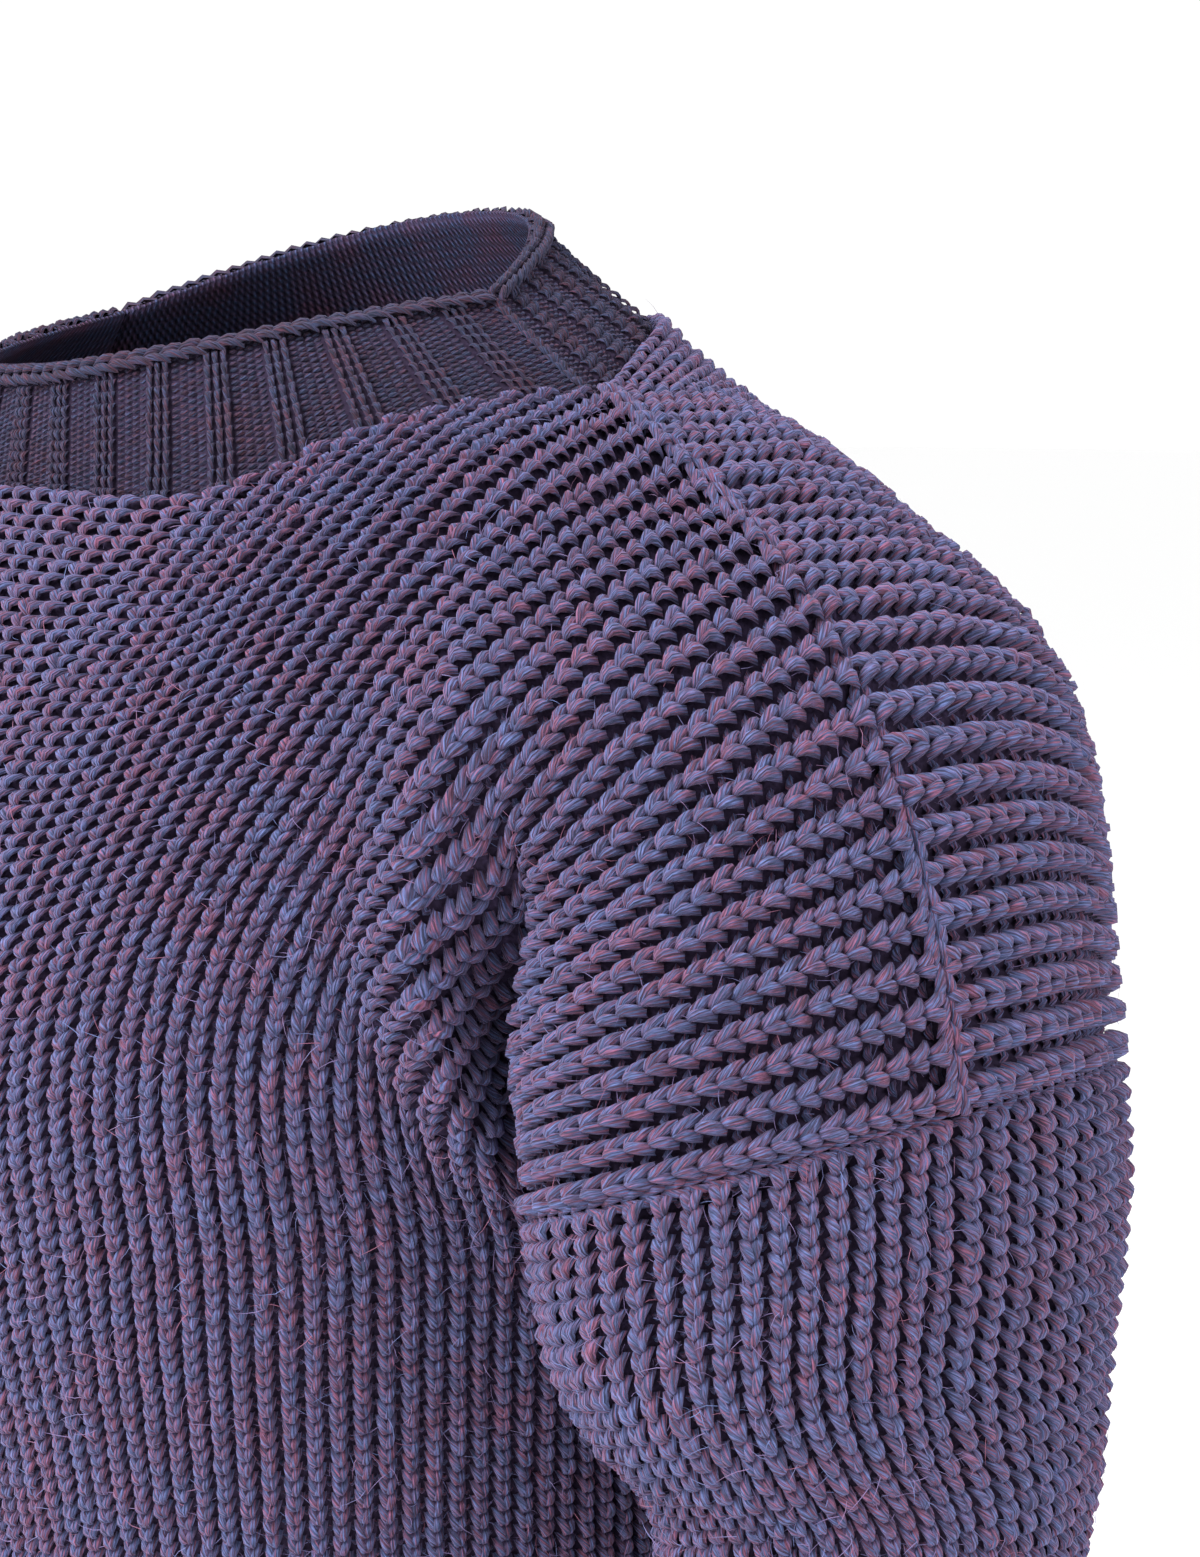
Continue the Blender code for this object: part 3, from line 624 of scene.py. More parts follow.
# Loose fibres: the share of them on the front, the back and the left and right sleeve, how long they are, and
# how steeply they stand off, droop, curl and tilt
FIBRE_SHARES = (0.36, 0.28, 0.24, 0.12)
FIBRE_LENGTHS = (0.0020, 0.0075)
FIBRE_RISES = (0.05, 0.65)
FIBRE_DROOP = 0.45
FIBRE_CURL = 0.5
FIBRE_TILT = 0.6

# Where along a fibre its points lie, how wide it is there to either side, and how high its root lies on top
# of a rib and how much lower one rib width from there
FIBRE_POINTS = (0.0, 0.35, 0.7, 1.0)
FIBRE_WIDTHS = (0.000072, 0.000064, 0.000048, 0.000012)
FIBRE_ROOTS = (0.0058, 0.0060)

# Points that the lines of the chains are sampled in, millimetres in a metre, and seeds of the random draws
SHOULDER_SAMPLES = 120
ARMHOLE_SAMPLES = 90
CORNER_SAMPLES = 24
MILLIMETRES = 1000
SEEDS = {
    "front": 11,
    "back": 12,
    "sleeve_left": 21,
    "sleeve_right": 22,
    "neckband_front": 31,
    "neckband_back": 32,
    "seam_stitches": 41,
    "corner_stitches": 42,
    "loose_fibres": 51,
}

# One side of a knit stitch, from its foot to its shoulder: how far it lies from the middle of its rib in rib
# widths, how far up in stitches, its height over the cloth and its half thickness
LEG = (
    (0.00, -0.70, 0.0036, 0.00092),
    (0.05, -0.38, 0.0054, 0.00124),
    (0.13, -0.05, 0.0058, 0.00138),
    (0.22, 0.28, 0.0047, 0.00132),
    (0.29, 0.60, 0.0026, 0.00104),
)
VALLEY_LOOP = (
    (-0.26, 0.14, 0.0010, 0.0006),
    (0.00, -0.10, 0.0016, 0.0009),
    (0.26, 0.14, 0.0010, 0.0006),
)
FINE_LEG = (
    (0.00, -0.62, 0.0014, 0.00036),
    (0.06, -0.30, 0.0023, 0.00050),
    (0.11, 0.00, 0.0025, 0.00054),
    (0.16, 0.30, 0.0020, 0.00048),
    (0.20, 0.58, 0.0010, 0.00034),
)
FINE_PURL = (
    (-0.60, 0.10, 0.0002, 0.00030),
    (-0.30, 0.00, 0.0009, 0.00046),
    (0.00, -0.12, 0.0012, 0.00052),
    (0.30, 0.00, 0.0009, 0.00046),
    (0.60, 0.10, 0.0002, 0.00030),
)
CHAIN_LEG = (
    (0.03, -0.86, 0.0006, 0.0007),
    (0.12, -0.45, 0.0016, 0.0010),
    (0.22, 0.00, 0.0020, 0.0011),
    (0.29, 0.42, 0.0015, 0.0010),
    (0.33, 0.80, 0.0002, 0.0006),
)

# The camera of the photograph, and the picture's size in pixels
CAMERA_TARGET = (0.17275507, -0.02634674, -0.10694514)
CAMERA_AZIMUTH = math.radians(50.4)
CAMERA_ELEVATION = math.radians(6.6)
CAMERA_DISTANCE = 0.746
FOCAL_PIXELS = 3149.0
PICTURE_WIDTH = 1200
PICTURE_HEIGHT = 1557

# The floor, and the lamps: how far to the camera's right and above it they are, how wide they are and what
# share of the main light they give
FLOOR_REACH = 40.0
FLOOR_DROP = 0.010
LAMPS = (("main_light", -0.9, 0.8, 1.1, 1.0), ("fill_light", 1.2, 0.2, 1.4, 0.35))


def camera_axes():
    """The camera's place and its right, up and forward directions."""
    flat = math.cos(CAMERA_ELEVATION)
    x, y = math.sin(CAMERA_AZIMUTH) * flat, -math.cos(CAMERA_AZIMUTH) * flat
    back = np.array((x, y, math.sin(CAMERA_ELEVATION)))
    right = unit(np.cross((0.0, 0.0, 1.0), back))
    return np.array(CAMERA_TARGET) + CAMERA_DISTANCE * back, right, np.cross(back, right), -back


def in_close_view(points, normals):
    """Which points lie in the picture and face the camera."""
    eye, right, up, ahead = camera_axes()
    away = points - eye
    depth = away @ ahead
    x, y = FOCAL_PIXELS * (away @ right) / depth, FOCAL_PIXELS * (away @ up) / depth
    inside = (np.abs(x) < PICTURE_WIDTH * PICTURE_REACH) & (np.abs(y) < PICTURE_HEIGHT * PICTURE_REACH)
    facing = -(away * normals).sum(-1) / np.linalg.norm(away, axis=-1)
    return inside & (depth > 0) & (facing > LEAST_FACING)


class Cloth:
    """A knitted surface: points and outward normals over its columns and its rows of stitches."""

    def __init__(self, points, normals, first_column, per_column, per_row):
        self.points, self.normals = points, normals
        self.first_column, self.per_column, self.per_row = first_column, per_column, per_row
        middle = (points.shape[0] // 2, points.shape[1] // 3)
        across = points[middle[0], middle[1] + 1] - points[middle]
        along = points[middle[0] + 1, middle[1]] - points[middle]
        self.hand = 1 if np.dot(np.cross(across, along), normals[middle]) > 0 else -1

    def at(self, column, row):
        """Points and normals at columns and rows, blended between the samples around them."""
        j = np.clip((column - self.first_column) * self.per_column, 0, self.points.shape[1] - 1.001)
        i = np.clip(row * self.per_row, 0, self.points.shape[0] - 1.001)
        j0, i0 = j.astype(int), i.astype(int)
        fj, fi = (j - j0)[..., None], (i - i0)[..., None]
        found = []
        for field in (self.points, self.normals):
            low = field[i0, j0] * (1 - fj) + field[i0, j0 + 1] * fj
            high = field[i0 + 1, j0] * (1 - fj) + field[i0 + 1, j0 + 1] * fj
            found.append(low * (1 - fi) + high * fi)
        return found

    def length(self):
        """The length of the cloth up its middle column."""
        return float(lengths(self.points[:, self.points.shape[1] // 2])[-1])

    def area(self):
        """The surface of the cloth in square metres."""
        across = np.diff(self.points, axis=1)[:-1]
        along = np.diff(self.points, axis=0)[:, :-1]
        return float(np.linalg.norm(np.cross(across, along), axis=-1).sum())


@functools.cache
def panel_cloth(face):
    """The front (-1) or back (1) panel as a cloth."""
    ribs = np.linspace(-PANEL_RIBS_HALF, PANEL_RIBS_HALF, 8 * PANEL_RIBS_HALF + 1)
    levels = np.arange(0, 2 * (LOWER_LEVELS + UPPER_LEVELS) + 1) / 2
    upper = 1 + (levels - LOWER_LEVELS) / UPPER_LEVELS
    rows = np.minimum(np.where(levels < LOWER_LEVELS, levels / LOWER_LEVELS, upper), LAST_ROW)
    return Cloth(*panel_points(face, ribs, rows), -PANEL_RIBS_HALF, 4, 2)


@functools.cache
def sleeve_cloth(side):
    """The left (1) or right (-1) sleeve as a cloth."""
    ribs = np.linspace(-SLEEVE_RIBS_HALF, SLEEVE_RIBS_HALF, 8 * SLEEVE_RIBS_HALF + 1)
    rows = np.linspace(FIRST_SLEEVE_ROW, 1, 2 * SLEEVE_LEVELS + 1)
    points, normals = sleeve_points(ribs, rows)
    mirror = np.array((side, 1.0, 1.0))
    return Cloth(points * mirror, normals * mirror, -SLEEVE_RIBS_HALF, 4, 2)


def band_cloth(face):
    """The front or back half of the neckband as a cloth."""
    shares = np.linspace(-1, 1, 2 * BAND_COLUMNS + 1)
    rows = np.linspace(FIRST_BAND_ROW, 1, 2 * BAND_STITCHES + 1)
    return Cloth(*band_points(face, shares, rows), 0, 2, 2)


def strip_cloth(line, across, out, width, pitch):
    """A narrow strip along a line, for a row of chain stitches: columns -0.5 to 0.5 lie across it."""
    run = lengths(line)
    count = max(2, int(round(run[-1] / pitch)))
    at = np.linspace(0, run[-1], 2 * count + 1)
    middle, sideways, normals = (
        np.stack([np.interp(at, run, field[:, k]) for k in range(3)], -1) for field in (line, across, out)
    )
    columns = np.array((-0.5, 0.0, 0.5))[None, :, None] * width
    points = middle[:, None] + unit(sideways)[:, None] * columns
    return Cloth(points, np.repeat(unit(normals)[:, None], 3, axis=1), -0.5, 2, 2), count


class Strands:
    """Collects short lengths of yarn, laid as open half tubes, and turns them into pieces."""

    def __init__(self, seed):
        self.random = np.random.default_rng(seed)
        self.parts = []

    def lay_all(self, cloth, places, shape, sides, way, size):
        """Lays strands at all places, finer in form where the picture shows them."""
        for part, close in zip(part_by_view(cloth, places), (True, False)):
            self.lay(cloth, part, shape, sides, way, size, close)

    def lay(self, cloth, places, shape, sides, way, size, close):
        """Lays one strand of a shape at every place, which is a column, a row and how many rows one stitch
        takes there. Strands grow with rib width and stitch height over the size that they are drawn for."""
        columns, rows, spans = places
        if len(columns) == 0:
            return
        shape = np.array(shape)
        if not close:
            shape = shape[[0, len(shape) // 2, -1]]
            shape[[0, -1], 3] = shape[1, 3] * FAR_TAPER
        turns = np.radians(CLOSE_TURNS if close else FAR_TURNS)
        low, high = (cloth.at(columns, rows + part * spans)[0] for part in (-0.5, 0.5))
        left, right = (cloth.at(columns + part, rows)[0] for part in (-0.5, 0.5))
        height = np.linalg.norm(high - low, axis=1)[:, None, None]
        width = np.linalg.norm(right - left, axis=1)[:, None, None]
        grow = np.clip(np.sqrt(height * width / (size[0] * size[1])), *STRAND_GROWTH)
        middle = np.concatenate([shape[None, :, :1] * width, shape[None, :, 1:2] * height], axis=-1)
        ahead = unit(np.gradient(middle, axis=1))
        thick = shape[None, :, 3:4] * grow
        sideways = thick * np.sin(turns)
        across = (middle[..., :1] + sideways * ahead[..., 1:2]) / width
        along = (middle[..., 1:2] - sideways * ahead[..., :1]) / height
        lift = shape[None, :, 2:3] * grow + thick * np.cos(turns)
        steps = np.linalg.norm(np.diff(middle, axis=1), axis=-1)
        run = np.concatenate([np.zeros((len(columns), 1)), np.cumsum(steps, axis=1)], axis=1)
        for side in sides:
            count = len(columns)
            shift = self.random.normal(0, UNEVEN_PLACE, (count, 2))
            bulk = self.random.normal(1, UNEVEN_BULK, (count, 1, 1))
            column = columns[:, None, None] + side * (across + shift[:, :1, None])
            row = rows[:, None, None] + way * (along + shift[:, 1:, None]) * spans[:, None, None]
            points, normals = cloth.at(column, row)
            points = points + normals * (lift * bulk)[..., None]
            yarn = np.empty(points.shape)
            yarn[..., 0] = run[..., None] * MILLIMETRES
            yarn[..., 1] = turns * side * thick * MILLIMETRES
            yarn[..., 2] = self.random.random((count, 1, 1))
            flip = cloth.hand * side * way < 0
            self.parts.append((points, yarn, flip))

    def pieces(self, name, material):
        """Makes pieces that aren't too large from what was laid."""
        blocks, made, size = [], [], 0
        for points, yarn, flip in self.parts:
            count, stations, around = points.shape[:3]
            faces_each = (stations - 1) * (around - 1)
            most = PIECE_FACES // faces_each
            for start in range(0, count, most):
                end = min(count, start + most)
                amount = (end - start) * faces_each
                if size + amount > PIECE_FACES and blocks:
                    made.append(join_strands(f"{name}_{len(made) + 1}", blocks, material))
                    blocks, size = [], 0
                blocks.append((points[start:end], yarn[start:end], flip))
                size += amount
        if blocks:
            made.append(join_strands(f"{name}_{len(made) + 1}", blocks, material))
        return made


def join_strands(name, blocks, material):
    """One mesh from blocks of strands that share a shape."""
    vertices, faces, yarns, start = [], [], [], 0
    for points, yarn, flip in blocks:
        count, stations, around = points.shape[:3]
        i, j = np.meshgrid(np.arange(stations - 1), np.arange(around - 1), indexing="ij")
        corner = (i * around + j).ravel()
        quad = np.stack([corner, corner + 1, corner + around + 1, corner + around], -1)
        if flip:
            quad = quad[:, ::-1]
        offsets = start + np.arange(count) * stations * around
        faces.append((offsets[:, None, None] + quad[None]).reshape(-1, 4))
        vertices.append(points.reshape(-1, 3))
        yarns.append(yarn.reshape(-1, 3))
        start += count * stations * around
    return mesh_piece(name, *(np.concatenate(part) for part in (vertices, faces, yarns)), (material,))


def mesh_piece(name, vertices, faces, yarn, materials, material_of_face=None):
    """A smooth mesh of quads with the yarn coordinates that its material reads."""
    mesh = bpy.data.meshes.new(name)
    mesh.vertices.add(len(vertices))
    mesh.vertices.foreach_set("co", np.ascontiguousarray(vertices, np.float32).ravel())
    mesh.loops.add(faces.size)
    mesh.loops.foreach_set("vertex_index", np.ascontiguousarray(faces, np.int32).ravel())
    mesh.polygons.add(len(faces))
    mesh.polygons.foreach_set("loop_start", np.arange(0, faces.size, faces.shape[1], dtype=np.int32))
    mesh.update(calc_edges=True)
    mesh.shade_smooth()
    coordinates = mesh.attributes.new("yarn", "FLOAT_VECTOR", "POINT")
    coordinates.data.foreach_set("vector", np.ascontiguousarray(yarn, np.float32).ravel())
    for material in materials:
        mesh.materials.append(material)
    if material_of_face is not None:
        mesh.polygons.foreach_set("material_index", np.ascontiguousarray(material_of_face, np.int32))
    piece = bpy.data.objects.new(name, mesh)
    bpy.context.scene.collection.objects.link(piece)
    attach(piece, "root")
    return piece


def ground_piece(name, cloth, columns, rows, heights, closed, materials):
    """The cloth under the stitches as one closed wall, plain inside on every second column."""
    grid_columns, grid_rows = np.meshgrid(columns, rows)
    points, normals = cloth.at(grid_columns, grid_rows)
    outer = points + normals * heights[..., None]
    inner = points[:, ::2]
    yarn_outer = np.stack([grid_columns, grid_rows, np.ones_like(grid_rows)], -1)
    yarn_inner = np.stack([grid_columns, grid_rows, np.zeros_like(grid_rows)], -1)[:, ::2]
    if closed:
        outer, inner = outer[:, :-1], inner[:, :-1]
        yarn_outer, yarn_inner = yarn_outer[:, :-1], yarn_inner[:, :-1]
    row_count, fine = outer.shape[:2]
    coarse = inner.shape[1]
    start = row_count * fine

    def ring(i, j):
        return i * fine + j % fine

    def inside(i, j):
        return start + i * coarse + j % coarse

    i, j = np.meshgrid(np.arange(row_count - 1), np.arange(fine if closed else fine - 1), indexing="ij")
    outside_faces = np.stack([ring(i, j), ring(i, j + 1), ring(i + 1, j + 1), ring(i + 1, j)], -1)
    i, j = np.meshgrid(np.arange(row_count - 1), np.arange(coarse if closed else coarse - 1), indexing="ij")
    inside_faces = np.stack([inside(i, j), inside(i + 1, j), inside(i + 1, j + 1), inside(i, j + 1)], -1)
    triangles = []
    j = np.arange(coarse if closed else coarse - 1)
    for row, order in ((0, 1), (row_count - 1, -1)):
        a, b = inside(row, j), inside(row, j + 1)
        first, middle, last = (ring(row, 2 * j + k) for k in range(3))
        for corners in ((a, middle, first), (a, b, middle), (b, last, middle)):
            triangles.append(np.stack(corners[::order], -1))
    sides = []
    if not closed:
        i = np.arange(row_count - 1)
        sides.append(np.stack([ring(i, 0), ring(i + 1, 0), inside(i + 1, 0), inside(i, 0)], -1))
        last = coarse - 1
        right = (inside(i, last), inside(i + 1, last), ring(i + 1, fine - 1), ring(i, fine - 1))
        sides.append(np.stack(right, -1))
    groups = [outside_faces.reshape(-1, 4), *sides, inside_faces.reshape(-1, 4)]
    quads = np.concatenate(groups)
    triangles = np.concatenate(triangles)
    if cloth.hand < 0:
        quads, triangles = quads[:, ::-1], triangles[:, ::-1]
    halves = np.concatenate([quads[:, [0, 1, 2]], quads[:, [0, 2, 3]], triangles])
    plain = np.zeros(len(quads), np.int32)
    plain[len(quads) - inside_faces.reshape(-1, 4).shape[0] :] = 1
    slots = np.concatenate([plain, plain, np.ones(len(triangles), np.int32)])
    vertices = np.concatenate([outer.reshape(-1, 3), inner.reshape(-1, 3)])
    yarn = np.concatenate([yarn_outer.reshape(-1, 3), yarn_inner.reshape(-1, 3)])
    return mesh_piece(name, vertices, halves, yarn, materials, slots)


class Signal:
    """One output in a material's nodes, so that sums of signals read as plain arithmetic."""

    def __init__(self, finish, socket):
        self.finish, self.socket = finish, socket

    def _node(self, operation, first, second=0.0):
        return self.finish.add("ShaderNodeMath", {"operation": operation}, {0: first, 1: second})

    def __add__(self, other):
        return self._node("ADD", self, other)

    def __radd__(self, other):
        return self._node("ADD", other, self)

    def __sub__(self, other):
        return self._node("SUBTRACT", self, other)

    def __rsub__(self, other):
        return self._node("SUBTRACT", other, self)

    def __mul__(self, other):
        return self._node("MULTIPLY", self, other)

    def __pow__(self, other):
        return self._node("POWER", self, other)

    def sine(self):
        """The sine of the signal."""
        return self._node("SINE", self)

    def held(self, low, high):
        """The signal rescaled from low..high to 0..1 and kept within it."""
        sockets = {"Value": self, "From Min": low, "From Max": high, "To Min": 0.0, "To Max": 1.0}
        return self.finish.add("ShaderNodeMapRange", {"clamp": True}, sockets)


class Finish:
    """A material under construction around its one Principled shader."""

    def __init__(self, name, roughness):
        self.material = bpy.data.materials.new(name)
        self.material.use_nodes = True
        self.tree = self.material.node_tree
        self.shader = self.tree.nodes["Principled BSDF"]
        self.shader.inputs["Roughness"].default_value = roughness

    def add(self, kind, settings, sockets, output=0):
        """Adds a node with its settings first, then the values or links of its sockets."""
        node = self.tree.nodes.new(kind)
        for key, value in settings.items():
            setattr(node, key, value)
        for key, value in sockets.items():
            if isinstance(value, Signal):
                self.tree.links.new(value.socket, node.inputs[key])
            else:
                node.inputs[key].default_value = value
        return Signal(self, node.outputs[output])

    def mix(self, share, first, second, kind="MIX"):
        """Two colours mixed by a share."""
        settings = {"data_type": "RGBA", "blend_type": kind}
        colours = [c if isinstance(c, Signal) else (*c, 1.0) for c in (first, second)]
        return self.add("ShaderNodeMix", settings, {0: share, 6: colours[0], 7: colours[1]}, 2)

    def yarn(self):
        """The yarn coordinates: how far along and across a strand in millimetres, and its own number; on the
        cloth under the strands its column and row."""
        found = self.add("ShaderNodeAttribute", {"attribute_name": "yarn"}, {}, 1)
        return [self.add("ShaderNodeSeparateXYZ", {}, {0: found}, k) for k in range(3)]

    def noise(self, x, y, z, detail):
        """Noise at a point made of three signals."""
        point = self.add("ShaderNodeCombineXYZ", {}, {0: x, 1: y, 2: z})
        return self.add("ShaderNodeTexNoise", {}, {"Vector": point, "Scale": 1.0, "Detail": detail})

    def spots(self, scale):
        """Noise over the object's own space."""
        point = self.add("ShaderNodeTexCoord", {}, {}, 3)
        return self.add("ShaderNodeTexNoise", {}, {"Vector": point, "Scale": scale, "Detail": 2.0})

    def wear(self, socket, value):
        """Links a signal to a socket of the shader."""
        self.tree.links.new(value.socket, self.shader.inputs[socket])

    def raise_by(self, height, distance):
        """Bumps the surface by a height signal."""
        sockets = {"Height": height, "Distance": distance, "Strength": 1.0}
        self.wear("Normal", self.add("ShaderNodeBump", {}, sockets))


@functools.cache
def wool_finish(name="heather_wool", strength=1.0):
    """Heather wool yarn: violet, blue and rose fibres that twist round each strand, with painted shade along
    the strands' flanks and in the ply grooves; a strength below one darkens it all as painted shade.
    """
    colours = bpy.context.scene.sweater_colours
    finish = Finish(name, 0.88)
    finish.shader.inputs["Specular IOR Level"].default_value = 0.25
    finish.shader.inputs["Sheen Weight"].default_value = 0.28 * strength
    finish.shader.inputs["Sheen Roughness"].default_value = 0.45
    finish.shader.inputs["Sheen Tint"].default_value = (0.60, 0.48, 0.84, 1.0)
    along, across, seed = finish.yarn()
    twisted = across + along * 0.50
    fibres = finish.noise(along * 0.34, twisted * 2.7, seed * 83.0, 4.0)
    tints = finish.noise(along * 0.24 + seed * 41.0, twisted * 2.3, seed * 29.0, 3.0)
    cloudy = finish.spots(70.0)
    tones = (colours.violet, colours.blue, colours.rose)
    # A strength below one darkens every colour, as painted shade for the neckband.
    violet, blue, rose = (tuple(strength * value for value in tone) for tone in tones)
    cool = (tints * 0.78 + cloudy * 0.22).held(0.49, 0.56)
    warm = (1.0 - (tints * 0.74 + cloudy * 0.26)).held(0.52, 0.59)
    colour = finish.mix(cool * 0.90, violet, blue)
    colour = finish.mix(warm * 0.90, colour, rose)
    plies = (twisted * 6.0).sine() * 0.5 + 0.5
    # shade varies the yarn's tone at random with the fibre streaks, and darkens it as painted shade in the
    # grooves of the ply twist.
    shade = (0.34 + (fibres.held(0.34, 0.66) ** 1.4) * 1.35) * (plies * 0.34 + 0.86)
    grey = finish.add("ShaderNodeCombineXYZ", {}, {0: shade, 1: shade, 2: shade})
    colour = finish.mix(1.0, colour, grey, "MULTIPLY")
    # Painted shade: along its flanks the strand darkens towards the crevice colour, where the stitches beside
    # it shade it.
    edge = (across * across).held(1.8, 6.5)
    colour = finish.mix(edge * 0.60, colour, tuple(colours.crevice))
    finish.wear("Base Color", colour)
    finish.raise_by(plies * 0.45 + fibres * 1.2, 0.00050)
    return finish.material


@functools.cache
def ground_finish(name="shaded_valleys", lightness=0.90):
    """The cloth under the stitches, in painted shade: dark in the valleys, lighter under the ribs."""
    colours = bpy.context.scene.sweater_colours
    finish = Finish(name, 0.95)
    finish.shader.inputs["Specular IOR Level"].default_value = 0.1
    column, row, _ = finish.yarn()
    bumps = (row * math.tau).sine() * 0.5 + 0.5
    tops = ((column - 0.25) * math.tau).sine() * 0.5 + 0.5
    fleck = finish.spots(900.0)
    # Painted shade: the colour runs from the crevice shade in the valleys to lit on the ribs' tops and the
    # rows' bumps, broken by random flecks.
    deep = tuple(colours.crevice)
    lit = tuple(lightness * v + (1 - lightness) * d for v, d in zip(colours.violet, deep))
    share = fleck.held(0.25, 0.65) * (bumps * 0.5 + 0.5) * (tops * 0.75 + 0.25)
    finish.wear("Base Color", finish.mix(share, deep, lit))
    finish.raise_by(bumps + fleck * 0.6, 0.0006)
    return finish.material


@functools.cache
def inside_finish():
    """The inner side of the knit: soft ribs with rows of flattened stitches, with painted shade between them.
    """
    colours = bpy.context.scene.sweater_colours
    finish = Finish("inside_knit", 0.92)
    finish.shader.inputs["Specular IOR Level"].default_value = 0.2
    column, row, _ = finish.yarn()
    ribs = (column * math.tau).sine() * 0.5 + 0.5
    slant = ((column + row) * math.tau).sine() * 0.5 + 0.5
    fleck = finish.spots(700.0)
    cloudy = finish.spots(60.0)
    colour = finish.mix(fleck.held(0.4, 0.6), tuple(colours.violet), tuple(colours.blue))
    colour = finish.mix(cloudy.held(0.45, 0.7) * 0.6, colour, tuple(colours.rose))
    # Painted shade: away from the rib crests and the slanted rows the colour darkens towards the crevice
    # shade.
    colour = finish.mix((1.0 - ribs * (0.45 + slant * 0.55)) * 0.8, colour, tuple(colours.crevice))
    finish.wear("Base Color", colour)
    finish.raise_by(ribs * 0.7 + slant * 0.4 + fleck * 0.2, 0.0012)
    return finish.material


def hair_finish():
    """Loose fibres that stand off the yarn, brightened over the yarn's colours as painted highlight."""
    colours = bpy.context.scene.sweater_colours
    finish = Finish("loose_fibres", 0.7)
    _, _, seed = finish.yarn()
    # Painted highlight: the fibres' colours are the yarn's brightened one and a half to two times.
    light = tuple(min(1.0, 2.1 * v) for v in colours.violet)
    colour = finish.mix(seed.held(0.35, 0.65), light, tuple(min(1.0, 1.5 * v) for v in colours.blue))
    colour = finish.mix(seed.held(0.7, 0.9), colour, tuple(min(1.0, 1.5 * v) for v in colours.rose))
    finish.wear("Base Color", colour)
    return finish.material


def colour_setting(name, description, value):
    """A colour that a user may change."""
    return bpy.props.FloatVectorProperty(name=name, description=description, default=value, subtype="COLOR")


class SweaterSizes(bpy.types.PropertyGroup):
    """How the yarn is laid."""

    loose_fibres: bpy.props.IntProperty(
        name="Loose fibres",
        description="How many stray fibres stand off the knit, before those out of the picture are thinned",
        default=30000,
        min=0,
    )


class SweaterColours(bpy.types.PropertyGroup):
    """Colours of the heather yarn."""

    violet: colour_setting("Violet", "Main colour of the yarn", (0.069, 0.049, 0.112))
    blue: colour_setting("Blue", "Cool fibres in the yarn", (0.058, 0.083, 0.192))
    rose: colour_setting("Rose", "Warm fibres in the yarn", (0.148, 0.048, 0.086))
    crevice: colour_setting("Crevice", "Shade deep between the stitches", (0.018, 0.012, 0.026))


class SweaterStage(bpy.types.PropertyGroup):
    """The floor and the light."""

    floor: colour_setting("Floor", "Colour of the floor", (0.97, 0.97, 0.97))
    light: bpy.props.FloatProperty(
        name="Light", description="Power of the main soft light", default=44.0, unit="POWER"
    )
    sky: bpy.props.FloatProperty(
        name="Sky", description="Strength of the light all round", default=1.02, min=0.0
    )


def stitch_places(cloth, columns, rise):
    """Where the stitches of every column lie: they follow each other up the column, each as high as rise says
    for its column and its share of the way up."""
    levels = np.arange(cloth.points.shape[0]) / cloth.per_row
    found = []
    for column in columns:
        points, normals = cloth.at(np.full(len(levels), column), levels)
        run = lengths(points)
        middle = 0.5 * (levels[1:] + levels[:-1]) / levels[-1]
        stretch = np.where(in_close_view(points, normals), 1.0, FAR_STRETCH)[1:]
        steps = np.diff(run) / (rise(abs(column), middle) * stretch)
        stitches = np.concatenate([[0], np.cumsum(steps)])
        count = max(2, int(round(stitches[-1])))
        edges = np.interp(np.arange(count + 1) * stitches[-1] / count, stitches, levels)
        rows, spans = 0.5 * (edges[1:] + edges[:-1]), np.diff(edges)
        found.append(np.stack([np.full(count, float(column)), rows, spans]))
    return np.concatenate(found, axis=1)


def part_by_view(cloth, places):
    """Places parted into those that the picture shows and the rest."""
    close = in_close_view(*cloth.at(places[0], places[1]))
    return places[:, close], places[:, ~close]


def even_places(columns, rows):
    """Every pair of a column and a row, one row high."""
    column, row = (grid.ravel() for grid in np.meshgrid(columns, rows))
    return np.stack([column, row, np.ones(len(row))])


def finish_sheet(cloth, node, strands, flat):
    band = node.startswith("neckband")
    # The neckband wears a darker copy of the wool, as painted shade.
    wool = wool_finish("shaded_band_wool", BAND_SHADE) if band else wool_finish()
    pieces = strands.pieces(node + "_stitches", wool)
    area = min(cloth.area(), flat[0] * flat[1])
    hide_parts(node)


def lay_ribs(strands, cloth, half, rise, way):
    """Lays the ribs of knit stitches of a cloth, and the loops in the valleys that the picture shows."""
    places = stitch_places(cloth, np.arange(-half, half) + 0.5, rise)
    strands.lay_all(cloth, places, LEG, (1, -1), way, RIB_SIZE)
    shown, _ = part_by_view(cloth, stitch_places(cloth, np.arange(-half + 1, half), rise))
    strands.lay(cloth, shown, VALLEY_LOOP, (1,), way, RIB_SIZE, False)


def lay_chain(strands, line, across, out, width, pitch):
    """Lays a chain of stitches along a line."""
    chain, count = strip_cloth(line, across, out, width, pitch)
    strands.lay_all(chain, even_places([0.0], np.arange(count) + 0.5), CHAIN_LEG, (1, -1), 1, CHAIN_SIZE)


